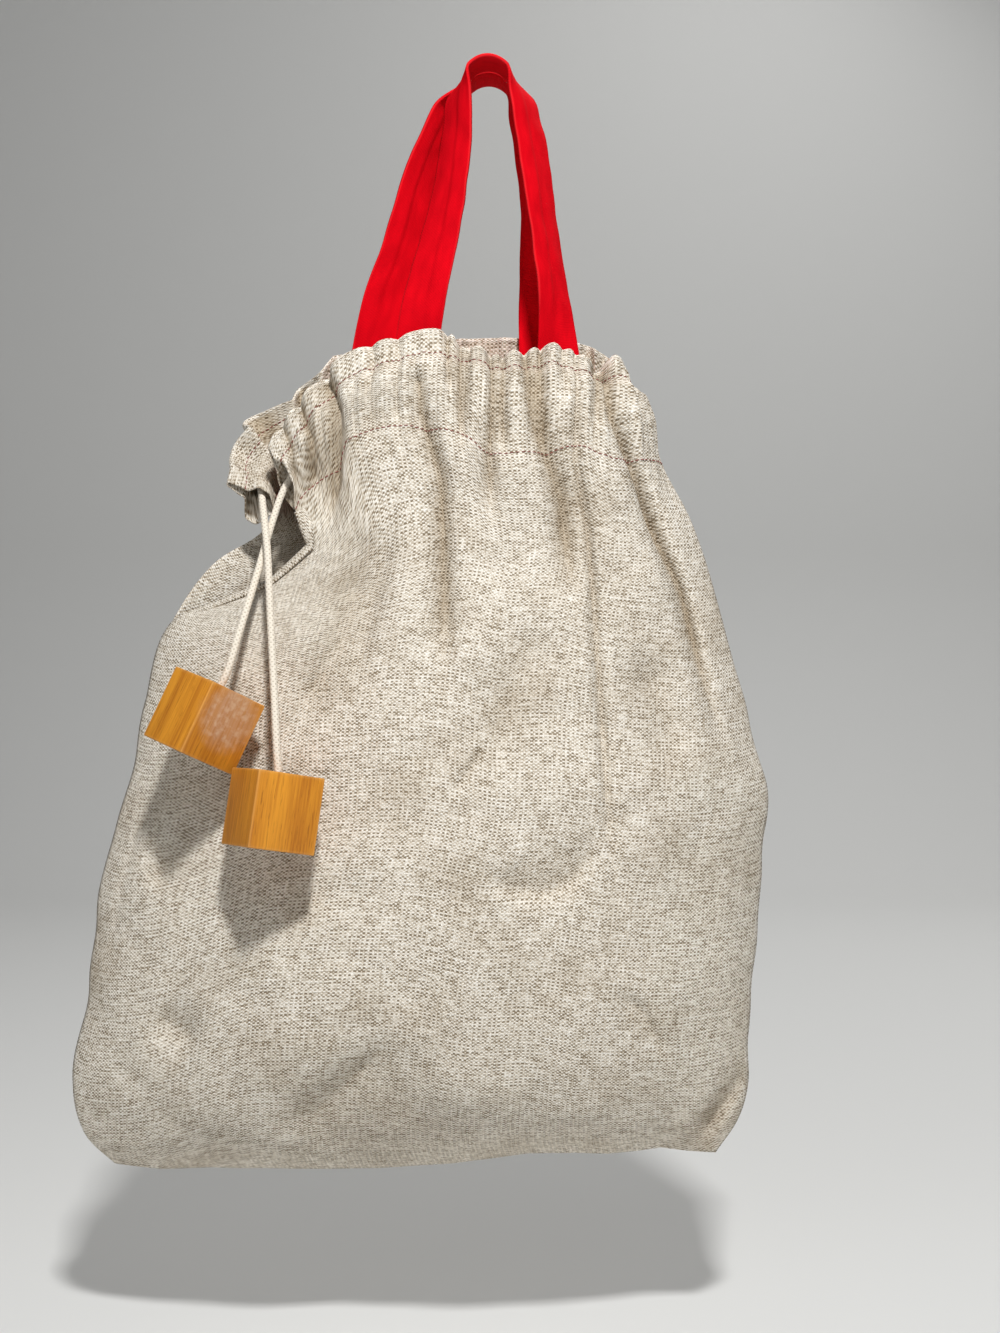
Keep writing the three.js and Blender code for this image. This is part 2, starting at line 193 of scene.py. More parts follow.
def new_material(name, roughness, specular):
    material = bpy.data.materials.new(name)
    material.use_nodes = True
    tree = material.node_tree
    shader = tree.nodes["Principled BSDF"]
    set_inputs(tree, shader, {"Roughness": roughness, "Specular IOR Level": specular})
    return material, tree, shader


def braided_cotton():
    """Bleached cotton braid: a matt off-white whose crossings are shaded where the strands dive under."""
    material, tree, shader = new_material("braided_cotton", roughness=0.9, specular=0.2)
    relief = add_node(tree, "Attribute", out="Fac", attribute_name="braid")
    place = add_node(tree, "TexCoord", out="Object")
    fuzz = add_node(tree, "TexNoise", {"Vector": place, "Scale": 1 / COTTON_FUZZ, "Detail": 3.0})
    rise = add_node(tree, "MapRange", {"Value": relief, "From Min": 0.1, "From Max": 0.75})
    level = add_node(tree, "Math", {0: fuzz, 1: 0.5, 2: rise}, operation="MULTIPLY_ADD")
    shade = add_node(tree, "MapRange", {"Value": level, "From Min": 0.2, "From Max": 1.0})
    colour = add_node(
        tree, "Mix", {0: shade, 6: linear(CORD_SHADE), 7: linear(CORD_LIGHT)}, out=2, data_type="RGBA"
    )
    bump = add_node(tree, "Bump", {"Height": fuzz, "Strength": 0.25, "Distance": 0.0004})
    set_inputs(tree, shader, {"Base Color": colour, "Normal": bump})
    return material


cord_line = spaced_line(smooth_line(ROUTE, np.linspace(0, len(ROUTE) - 1, LINE_SAMPLES)), CORD_STEP)
side, other = line_frames(cord_line)
angles = np.linspace(0, -2 * math.pi, CORD_SIDES + 1)
turns = 2 * math.pi * np.arange(len(cord_line))[:, None] * CORD_STEP / BRAID_REPEAT
leaning_right = np.cos(STRANDS_EACH_WAY * angles[None, :] + turns)
leaning_left = np.cos(STRANDS_EACH_WAY * angles[None, :] - turns)
braid = 0.5 + 0.5 * np.maximum(leaning_right, leaning_left)
radius = CORD_DIAMETER / 2 * (1 - BRAID_RELIEF * (1 - braid))
radius[0] = radius[-1] = 0
around = side[:, None] * np.cos(angles)[None, :, None] + other[:, None] * np.sin(angles)[None, :, None]
drawstring = grid_piece("drawstring_cord", cord_line[:, None] + around * radius[..., None])
set_values(drawstring, "braid", braid)
merge_doubles(drawstring)
drawstring.data.materials.append(braided_cotton())
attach(drawstring, "root")
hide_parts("drawstring")


# Front and back walls
# Two panels of natural linen, sewn together at the sides and the bottom and left open at the left as a
# slit. The top of each is turned in and sewn twice, which makes the casing and the small frill above it.
LINEN_THICK = 0.0008
WALL_OFFSET = 0.004
SEAM_HALF = 0.00045
RIM_RADIUS = 0.0015

# Steps and rows of the mesh, and samples of the lines that are measured for it.
CASING_STEP = 0.0016
BODY_STEP = 0.0026
HEM_ROWS = 18
RIM_ROWS = 7
ROUTE_NUDGE = 0.01
WALL_SAMPLES = 600
SAMPLE_COLUMNS = 12

# How the casing droops at the left and turns at the right, how sharp the slit is, and how round the sack.
DROOP_SPAN = 0.3
RIGHT_SPAN = 0.3
RIGHT_UP = np.array([-0.4, 0.0, 0.92])
SLIT_SPAN = 0.45
SLIT_FADE = 0.5
CORNER_SPAN = 0.06
BULGE_FLATNESS = 2.4
BULGE_ROUNDNESS = 0.75

# Heights of the casing's lines above the cord: in the middle, at the front's open end, at the back's.
CASING_LINES = {
    "rim": (0.022, 0.021, 0.018),
    "upper_stitch": (0.012, 0.011, 0.009),
    "cord": (0.0, 0.0, 0.0),
    "lower_stitch": (-0.033, -0.013, -0.009),
}
RIM_PLACE, UPPER_PLACE, CORD_PLACE, STITCH_PLACE = range(len(CASING_LINES))

# Levels of the sack, from the slit's deepest point down to the bottom seam. The last two columns say how
# far the back wall stands forward behind the slit, or back if negative, and how hollow it still is there.
SECTION_COLUMNS = (
    "front_x", "front_z", "front_lift", "back_x", "back_z", "right_x", "right_z", "middle_z", "drop_span",
    "front_depth", "back_depth", "forward", "hollow",
)
SECTIONS = [
    dict(zip(SECTION_COLUMNS, row))
    for row in (
        (-0.0955, -0.262, 0.6, -0.128, -0.254, 0.117, -0.262, -0.262, 0.35, 0.040, 0.029, -0.012, 0.2),
        (-0.117, -0.281, 0.35, -0.152, -0.270, 0.127, -0.296, -0.300, 0.35, 0.048, 0.033, -0.007, 0.2),
        (-0.174, -0.303, 0, -0.174, -0.303, 0.136, -0.330, -0.334, 0.35, 0.054, 0.036, 0, 0.6),
        (-0.188, -0.345, 0, -0.188, -0.345, 0.146, -0.364, -0.368, 0.40, 0.058, 0.038, 0, 1),
        (-0.197, -0.393, 0, -0.197, -0.393, 0.153, -0.400, -0.404, 0.40, 0.061, 0.039, 0, 1),
        (-0.210, -0.433, 0, -0.210, -0.433, 0.151, -0.437, -0.440, 0.40, 0.064, 0.040, 0, 1),
        (-0.217, -0.477, 0, -0.217, -0.477, 0.147, -0.480, -0.480, 0.40, 0.066, 0.040, 0, 1),
        (-0.222, -0.521, 0, -0.222, -0.521, 0.143, -0.528, -0.524, 0.40, 0.062, 0.040, 0, 1),
        (-0.227, -0.555, 0, -0.227, -0.555, 0.142, -0.553, -0.560, 0.40, 0.049, 0.036, 0, 1),
        (-0.222, -0.583, 0, -0.222, -0.583, 0.137, -0.575, -0.585, 0.35, 0.028, 0.022, 0, 1),
        (-0.205, -0.599, 0, -0.205, -0.599, 0.125, -0.593, -0.602, 0.50, 0.001, 0.001, 0, 1),
    )
]
SEAM_PLACE = 6
LAST_PLACE = len(CASING_LINES) + len(SECTIONS) - 1
SLIT_REACH = (0.06, 0.34)

# Each wall's side of the bag, its end of the cord's route, and the directions in which its casing stands.
FRONT = {
    "side": "front", "facing": -1, "casing_end": FRONT_END, "end": 1, "columns": 224,
    "end_up": np.array([-0.4, 0.0, 0.92]), "up": np.array([0.0, 0.22, 0.97]),
}
BACK = {
    "side": "back", "facing": 1, "casing_end": BACK_END, "end": 2, "columns": 216,
    "end_up": np.array([-0.85, 0.0, 0.52]), "up": np.array([0.0, 0.0, 1.0]),
}

# Valleys between the gathers of the front: share of the full depth, half width at the top and at the foot,
# how that width is stretched to the left and right where it is, and the line followed in the front view.
FRONT_VALLEYS = (
    (0.9, 0.003, 0.003, ((-0.112, -0.195), (-0.105, -0.212), (-0.103, -0.236))),
    (1.0, 0.003, 0.004, ((-0.105, -0.178), (-0.095, -0.205), (-0.094, -0.236))),
    (1.2, 0.005, 0.006, 2.0, 0.6, ((-0.092, -0.160), (-0.079, -0.190), (-0.081, -0.228), (-0.086, -0.262))),
    (0.4, 0.003, 0.004, ((-0.062, -0.150), (-0.061, -0.186), (-0.062, -0.215))),
    (0.4, 0.003, 0.004, ((-0.048, -0.148), (-0.048, -0.186), (-0.048, -0.205))),
    (1.0, 0.004, 0.008, 1.1, 0.8, ((-0.036, -0.176), (-0.035, -0.192), (-0.025, -0.227), (-0.022, -0.300),
                                   (-0.022, -0.350))),
    (0.8, 0.0025, 0.003, ((-0.022, -0.145), (-0.020, -0.188))),
    (0.8, 0.0025, 0.004, ((-0.015, -0.145), (-0.015, -0.184), (-0.012, -0.215))),
    (0.6, 0.0025, 0.004, ((-0.010, -0.145), (-0.011, -0.200))),
    (0.9, 0.0025, 0.006, ((0.001, -0.145), (0.002, -0.184), (0.001, -0.213), (0.003, -0.260))),
    (0.9, 0.0025, 0.005, ((0.008, -0.145), (0.008, -0.192), (0.011, -0.225))),
    (1.1, 0.0035, 0.011, ((0.019, -0.145), (0.022, -0.182), (0.028, -0.205), (0.040, -0.236),
                          (0.046, -0.310))),
    (1.0, 0.003, 0.004, ((0.029, -0.145), (0.028, -0.186), (0.029, -0.212))),
    (0.6, 0.003, 0.003, ((0.040, -0.145), (0.041, -0.190))),
    (0.6, 0.0025, 0.003, ((0.047, -0.148), (0.047, -0.213), (0.054, -0.254), (0.064, -0.422),
                          (0.069, -0.470))),
    (0.8, 0.003, 0.004, ((0.058, -0.150), (0.058, -0.206))),
    (1.15, 0.0035, 0.005, 1, 0.7, ((0.061, -0.150), (0.066, -0.194), (0.080, -0.222), (0.105, -0.287),
                                   (0.118, -0.340), (0.134, -0.390))),
)

# Dents and creases of the front below the casing, in the same terms.
FRONT_DENTS = (
    (0.9, 0.010, 0.012, ((-0.061, -0.245), (-0.077, -0.313), (-0.110, -0.375))),
    (0.5, 0.006, 0.008, ((-0.048, -0.240), (-0.071, -0.344))),
    (0.6, 0.005, 0.005, 0.9, 2.8, ((-0.002, -0.424), (0.005, -0.439), (0.017, -0.444), (0.032, -0.444),
                                   (0.045, -0.438), (0.053, -0.426), (0.057, -0.408))),
    (0.3, 0.0025, 0.0025, ((0.001, -0.366), (-0.019, -0.396))),
    (0.8, 0.010, 0.014, 0.8, 5, ((-0.040, -0.515), (-0.075, -0.545), (-0.115, -0.582))),
    (0.35, 0.003, 0.003, 1.6, 1, ((0.061, -0.492), (0.080, -0.506), (0.100, -0.541))),
    (1.9, 0.005, 0.005, 1.4, 0.6, ((0.144, -0.540), (0.131, -0.563), (0.1225, -0.577), (0.118, -0.602))),
    (0.5, 0.008, 0.008, ((-0.178, -0.417), (-0.173, -0.448))),
    (0.5, 0.012, 0.012, ((-0.178, -0.510), (-0.150, -0.527))),
    (0.5, 0.015, 0.018, ((0.030, -0.290), (-0.004, -0.395))),
    (0.6, 0.012, 0.012, ((0.078, -0.310), (0.106, -0.385))),
    (0.3, 0.003, 0.003, ((-0.178, -0.378), (-0.191, -0.420), (-0.201, -0.464), (-0.206, -0.500))),
)

# Heights that the rims rise and sink by, at places along the bag.
FRONT_RISE = (
    (-0.110, -0.098, -0.086, -0.075, -0.060, -0.045, -0.034, -0.024, -0.019, -0.016, -0.008, 0.008, 0.030,
     0.045, 0.056, 0.062, 0.070),
    (0, 0.001, 0.004, 0.004, 0.003, 0.002, 0.003, 0.003, 0.002, -0.003, -0.005, -0.005, 0, -0.001, -0.006,
     -0.006, 0.001),
)
BACK_RISE = (
    (-0.124, -0.120, -0.114, -0.108, -0.102, -0.095, -0.085, -0.071, -0.040, 0.020, 0.045, 0.062, 0.078),
    (0, 0.002, -0.002, -0.003, -0.001, 0.003, 0.009, 0.005, 0.002, 0.004, 0.006, 0.006, 0),
)

# Heights that the front's lower stitch line and the bottom seam rise by, at places along the bag.
STITCH_RISE = (
    (-0.120, -0.082, -0.075, -0.060, -0.045, -0.028, -0.012, -0.004, 0.032, 0.047, 0.062, 0.080, 0.100),
    (0, 0, 0.011, 0.011, 0.008, 0.004, 0.001, -0.005, -0.005, 0.002, -0.003, 0.002, 0.002),
)
BOTTOM_RISE = (
    (-0.230, -0.205, -0.180, -0.150, -0.060, -0.020, 0.022, 0.048, 0.066, 0.095, 0.125, 0.150),
    (0, -0.001, -0.003, -0.001, 0, 0.002, 0.007, 0.006, 0.004, 0.005, -0.001, 0),
)

# Gathers of the back, which the picture hardly shows, at uneven steps along its casing: the same terms,
# with lengths along the casing and heights below the rim. The first ones make the lobes of the open end.
CASING_RUN = 0.25
BACK_GATHERS = 18
GATHER_SHIFT = 0.3
GATHER_LEAN = 0.006
GATHER_DEPTHS = (0.6, 1.2)
GATHER_WIDTHS = (0.0025, 0.0035)
GATHER_FOOT = 0.004
GATHER_SPREAD = 0.005
GATHER_TOP = 0.01
GATHER_BEND = -0.050
GATHER_END = -0.070
GATHER_REACH = 0.13
random = np.random.default_rng(12)
BACK_VALLEYS = [
    (0.6, 0.012, 0.012, ((0.010, 0.010), (0.010, -0.060))),
    (1.2, 0.004, 0.004, ((0.0335, 0.010), (0.034, -0.030))),
    (-1.6, 0.007, 0.007, ((0.047, 0.010), (0.047, -0.030))),
    (1.1, 0.004, 0.005, ((0.060, 0.010), (0.059, -0.070))),
    (-1.3, 0.004, 0.004, ((0.068, 0.010), (0.068, -0.030))),
    (1.1, 0.004, 0.005, ((0.076, 0.010), (0.076, -0.070))),
    (-1.3, 0.005, 0.005, ((0.086, 0.010), (0.086, -0.030))),
    (0.9, 0.004, 0.005, ((0.096, 0.010), (0.095, -0.070))),
]
for step in range(len(BACK_VALLEYS), BACK_GATHERS):
    start = CASING_RUN * (step + random.uniform(-GATHER_SHIFT, GATHER_SHIFT)) / BACK_GATHERS
    reach = random.uniform(0, 1) ** 2
    foot = start + random.uniform(-GATHER_LEAN, GATHER_LEAN)
    BACK_VALLEYS.append((
        random.uniform(*GATHER_DEPTHS), random.uniform(*GATHER_WIDTHS), GATHER_FOOT + GATHER_SPREAD * reach,
        ((start, GATHER_TOP), (start, GATHER_BEND), (foot, GATHER_END - GATHER_REACH * reach)),
    ))
BACK_DENTS = (
    (0.6, 0.010, 0.012, ((0.060, -0.120), (0.050, -0.240))),
    (0.6, 0.010, 0.014, ((0.160, -0.110), (0.175, -0.250))),
    (0.5, 0.012, 0.012, ((0.060, -0.330), (0.120, -0.370))),
    (0.5, 0.012, 0.012, ((0.140, -0.400), (0.210, -0.340))),
)

# Depth of a full fold, its flanks and ends, and how far gathers move the frill and the lines of stitching.
FULL_DEPTH = 0.012
FOLD_SHARPNESS = 1.5
FOLD_FADE = 0.35
CREST_LIMITS = (-0.4, 2.4)
FRILL_WAVE = 0.011
UPPER_WAVE = 0.009
LOWER_WAVE = 0.009

# The casing's two layers where they are sewn and around the cord, and how they calm down at the right.
SEWN_OFFSET = 0.0015
SEWN_HALF = 0.0006
CORD_ROOM = 0.0032
TUBE_OUT = 0.0080
TUBE_IN = 0.0025
CALM_SPAN = (0.02, 0.2)
CALM_CREST = 0.25
RIM_SWAY = 0.0014
RIM_MIDDLE = 0.6

# Small upright wrinkles where the cloth is drawn up.
PUCKER_SPACING = 0.0048
PUCKER_DEPTH = 0.0028
PUCKER_DRIFT = 0.5
PUCKER_SEED = 5.3

# How much painted shade darkens the folds and dents, the back wall behind the slit and the hem inside the
# mouth.
FOLD_SHADE = 0.65
DENT_SHADE = 0.3
SLIT_SHADE = 0.4
SLIT_SHADE_START = (0.03, 0.10)
HEM_SHADE = (0.25, 0.7)

# The casing's open ends, and how the cloth is drawn in at the seams.
END_SHARE = 0.07
END_CUT = 0.005
TUBE_FLARE = 0.008
SEAM_FADE = 0.06
SEAM_TUCK = 0.0012
HEM_TUCK = 0.0007
SIDE_FADE = 10

# Waves of the side seams, whose shift keeps the two sides unlike, and the crumples of the cloth: how far
# they move it, their length, and a seed. The creases are crumples that all turn to one side.
SEAM_WAVE = 0.0024
SEAM_WAVE_LENGTH = 0.030
SEAM_WAVE_REACH = 0.10
SEAM_WAVE_TOP = (0.310, 0.350)
SEAM_WAVE_SEED = 2.6
SEAM_WAVE_SHIFT = 5.0
CRUMPLES = ((0.0026, 0.060, 3.1), (0.0010, 0.022, 7.7), (0.0002, 0.007, 1.9))
CREASE_DEPTH, CREASE_LENGTH, CREASE_SEED = 0.0026, 0.045, 4.4
CRUMPLE_SIDE_FADE = 12
CASING_SOFTNESS = 0.3

# Places at which things fade in and out down the wall. The casing's lines are 0 to 3, from rim to lower
# stitch, and the levels of the sack follow on.
RISE_REACH = 1.6
TUBE_ROWS = ((1.0, 1.6), (2.2, 3.0))
FLARE_ROWS = ((1.0, 1.7), (2.2, 3.0))
CUT_ROWS = ((0.5, 1.2), (2.2, 3.0))
PUCKER_ROWS = ((0.0, 0.8), (2.3, 4.0))
STITCH_RISE_ROWS = ((1.8, 3.0), (3.0, 4.4))
SLIT_SHADE_ROWS = ((3.0, 3.6), (4.6, 6.0))
TURN_ROWS = (CORD_PLACE, 5)
BODY_ROWS = (STITCH_PLACE, STITCH_PLACE + 0.8)
SOFT_ROWS = (STITCH_PLACE, STITCH_PLACE + 1)
BOTTOM_RISE_ROWS = (LAST_PLACE - 3, LAST_PLACE)
BOTTOM_WAVE_ROWS = (LAST_PLACE - 2, LAST_PLACE)
BOTTOM_FOLD_ROWS = (LAST_PLACE - 1.2, LAST_PLACE)
HEM_SPAN = (STITCH_PLACE - 0.06, 0.1)
HEM_STITCH_PLACE = 2.88


def smoothstep(x, low, high):
    t = np.clip((np.asarray(x) - low) / (high - low), 0, 1)
    return t * t * (3 - 2 * t)


def between(x, rise, fall):
    """One between a rise and a fall, and nothing outside them."""
    return smoothstep(x, *rise) * (1 - smoothstep(x, *fall))


def nearest_row(places, place):
    return int(np.argmin(np.abs(places - place)))


def mouth_frame(panel, u):
    """The cord's place, and the directions up and out of the casing, at shares u along the casing."""
    index = panel["casing_end"] + (RIGHT_SEAM - panel["casing_end"]) * u
    centre = smooth_line(ROUTE, index)
    ahead = smooth_line(ROUTE, index + ROUTE_NUDGE) - smooth_line(ROUTE, index - ROUTE_NUDGE)
    along = unit(ahead) * np.sign(RIGHT_SEAM - panel["casing_end"])
    level = smoothstep(u, 0, DROOP_SPAN)[:, None]
    up = panel["end_up"] * (1 - level) + panel["up"] * level
    turn = smoothstep(u, 1 - RIGHT_SPAN, 1)[:, None]
    up = unit(up * (1 - turn) + RIGHT_UP * turn)
    return centre, up, unit(np.cross(along, up) * -panel["facing"])


def casing_height(panel, u, line):
    level = smoothstep(u, 0, DROOP_SPAN)
    return line[panel["end"]] * (1 - level) + line[0] * level


def section_point(panel, u, section):
    facing = panel["facing"]
    span = section["drop_span"]
    edge_x, edge_z, depth = (section[panel["side"] + part] for part in ("_x", "_z", "_depth"))
    bulge = (1 - np.abs(2 * u - 1) ** BULGE_FLATNESS) ** BULGE_ROUNDNESS
    if panel is FRONT:
        lift = section["front_lift"] * (1 - smoothstep(u, 0, span))
        hollow = bulge + (1 - bulge) * lift
        forward = 0
    else:
        at_slit = 1 - smoothstep(u, *SLIT_REACH)
        hollow = bulge * (1 - at_slit * (1 - section["hollow"]))
        forward = section["forward"] * at_slit
    shift = (edge_x - section["back_x"]) * np.maximum(0, 1 - u / SLIT_SPAN) ** 2
    left = (edge_z - section["middle_z"]) * np.maximum(0, 1 - u / span) ** 2
    right = (section["right_z"] - section["middle_z"]) * np.maximum(0, (u - 1) / span + 1) ** 2
    x = section["back_x"] + (section["right_x"] - section["back_x"]) * u + shift
    y = facing * (SEAM_HALF + depth * hollow) - forward
    return np.stack([x, y, section["middle_z"] + left + right], axis=1)


def wall_surface(panel, u, places):
    """The wall without folds, from the rim down to the bottom seam."""
    centre, up, out = mouth_frame(panel, u)
    controls = [
        centre + up * casing_height(panel, u, line)[:, None] + out * WALL_OFFSET
        for line in CASING_LINES.values()
    ]
    controls = np.array(controls + [section_point(panel, u, section) for section in SECTIONS])
    rounded = smooth_line(controls, places)
    if panel is BACK:
        return rounded
    index = np.clip(np.floor(places).astype(int), 0, LAST_PLACE - 1)
    share = (places - index)[:, None, None]
    straight = controls[index] * (1 - share) + controls[index + 1] * share
    slit_rows = (STITCH_PLACE, STITCH_PLACE + SLIT_FADE), (SEAM_PLACE - SLIT_FADE, SEAM_PLACE)
    sharp = between(places, *slit_rows)[:, None] * (1 - smoothstep(u, 0, CORNER_SPAN))
    return rounded + (straight - rounded) * sharp[..., None]


def along_line(across, height, line):
    """Distance of places from a line, to its right if positive, and the share along it."""
    line = np.array(line)
    lengths = np.linalg.norm(np.diff(line, axis=0), axis=1)
    starts = np.concatenate([[0], np.cumsum(lengths)])
    best = np.full(across.shape, np.inf)
    signed = np.zeros(across.shape)
    share = np.zeros(across.shape)
    for i, length in enumerate(lengths):
        run = (line[i + 1] - line[i]) / length
        dx, dz = across - line[i][0], height - line[i][1]
        t = np.clip(dx * run[0] + dz * run[1], 0, length)
        away = np.hypot(dx - t * run[0], dz - t * run[1])
        closer = away < best
        best = np.where(closer, away, best)
        signed = np.where(closer, away * np.sign(run[0] * dz - run[1] * dx), signed)
        share = np.where(closer, (starts[i] + t) / starts[-1], share)
    return signed, share


def fold_depth(across, height, folds, fade_top):
    """How far folds reach in at places of the wall, as a share of the full depth."""
    depth = np.zeros(across.shape)
    for amount, top, foot, *stretch, line in folds:
        left, right = stretch or (1, 1)
        signed, share = along_line(across, height, line)
        width = (top + (foot - top) * share) * np.where(signed < 0, left, right)
        taper = 1 - smoothstep(share, 1 - FOLD_FADE, 1)
        if fade_top:
            taper = taper * smoothstep(share, 0, FOLD_FADE)
        depth += amount * taper * np.exp(-(np.abs(signed / width) ** FOLD_SHARPNESS))
    return depth


def ripple(points, seed):
    """Smooth noise at points, about one wave for each unit of length."""
    shift = Vector((seed, 2 * seed, 3 * seed))
    values = [noise.noise(Vector(p) + shift) for p in points.reshape(-1, 3)]
    return np.array(values).reshape(points.shape[:-1])


def layer_offsets(place, crest):
    """Offsets of the outer and the inner layer from the cord, at places from the rim to the lower stitch."""
    knots = (RIM_PLACE, UPPER_PLACE, STITCH_PLACE)
    wave = np.interp(place, knots, (FRILL_WAVE, UPPER_WAVE, LOWER_WAVE))
    half = np.interp(place, knots, (RIM_RADIUS, SEWN_HALF, SEWN_HALF))
    middle = SEWN_OFFSET + wave * (crest - 0.5)
    room = between(place, *TUBE_ROWS)
    ridge = np.clip(crest, 0, 1)
    outer = (middle + half) * (1 - room) + room * (CORD_ROOM + TUBE_OUT * ridge)
    inner = (middle - half) * (1 - room) - room * (CORD_ROOM + TUBE_IN * (1 - ridge))
    return outer, inner


def wall_places(panel, u):
    """Places of the wall's rows, closer together in the casing, and the length down to each."""
    fine = np.linspace(0, LAST_PLACE, WALL_SAMPLES)
    lines = wall_surface(panel, u[::SAMPLE_COLUMNS], fine)
    drop = np.concatenate([[0], np.cumsum(np.linalg.norm(np.diff(lines, axis=0), axis=2).mean(axis=1))])
    stitch = np.interp(STITCH_PLACE, fine, drop)
    body = np.linspace(stitch, drop[-1], round((drop[-1] - stitch) / BODY_STEP))
    drops = np.concatenate([np.arange(CASING_STEP, stitch - CASING_STEP / 2, CASING_STEP), body])
    places = np.interp(drops, drop, fine)
    places[nearest_row(places, UPPER_PLACE)] = UPPER_PLACE
    return places, drops


def crumple(panel, u, points, places):
    """Moves a sheet's points by the crumples and creases of the cloth and the waves of its side seams."""
    soft = CASING_SOFTNESS + (1 - CASING_SOFTNESS) * smoothstep(places, *SOFT_ROWS)
    depth = CREASE_DEPTH * np.abs(ripple(points / CREASE_LENGTH, CREASE_SEED))
    for amount, length, seed in CRUMPLES:
        depth += amount * ripple(points / length, seed)
    points[..., 1] += panel["facing"] * depth * soft * np.minimum(1, CRUMPLE_SIDE_FADE * u * (1 - u))
    bottom_calm = 1 - smoothstep(places, *BOTTOM_WAVE_ROWS)
    for shift, distance in ((0.0, u), (SEAM_WAVE_SHIFT, 1 - u)):
        along_seam = points[..., 2] / SEAM_WAVE_LENGTH
        steps = np.stack([along_seam, np.full_like(along_seam, shift), np.zeros_like(along_seam)], axis=-1)
        near_seam = (1 - smoothstep(distance, 0, SEAM_WAVE_REACH)) * bottom_calm
        below_slit = smoothstep(-points[..., 2], *SEAM_WAVE_TOP)
        points[..., 0] += SEAM_WAVE * ripple(steps, SEAM_WAVE_SEED) * near_seam * below_slit


def keep_apart(panel, points, seam_row):
    """Keeps a sheet on its own side of the bag in the right half, and all over from the slit's foot down."""
    facing = panel["facing"]
    sewn = np.zeros(points.shape[:2], bool)
    sewn[:, points.shape[1] // 2:] = True
    sewn[seam_row:] = True
    inside = points[..., 1] * facing < SEAM_HALF
    points[..., 1] = np.where(sewn & inside, facing * SEAM_HALF, points[..., 1])


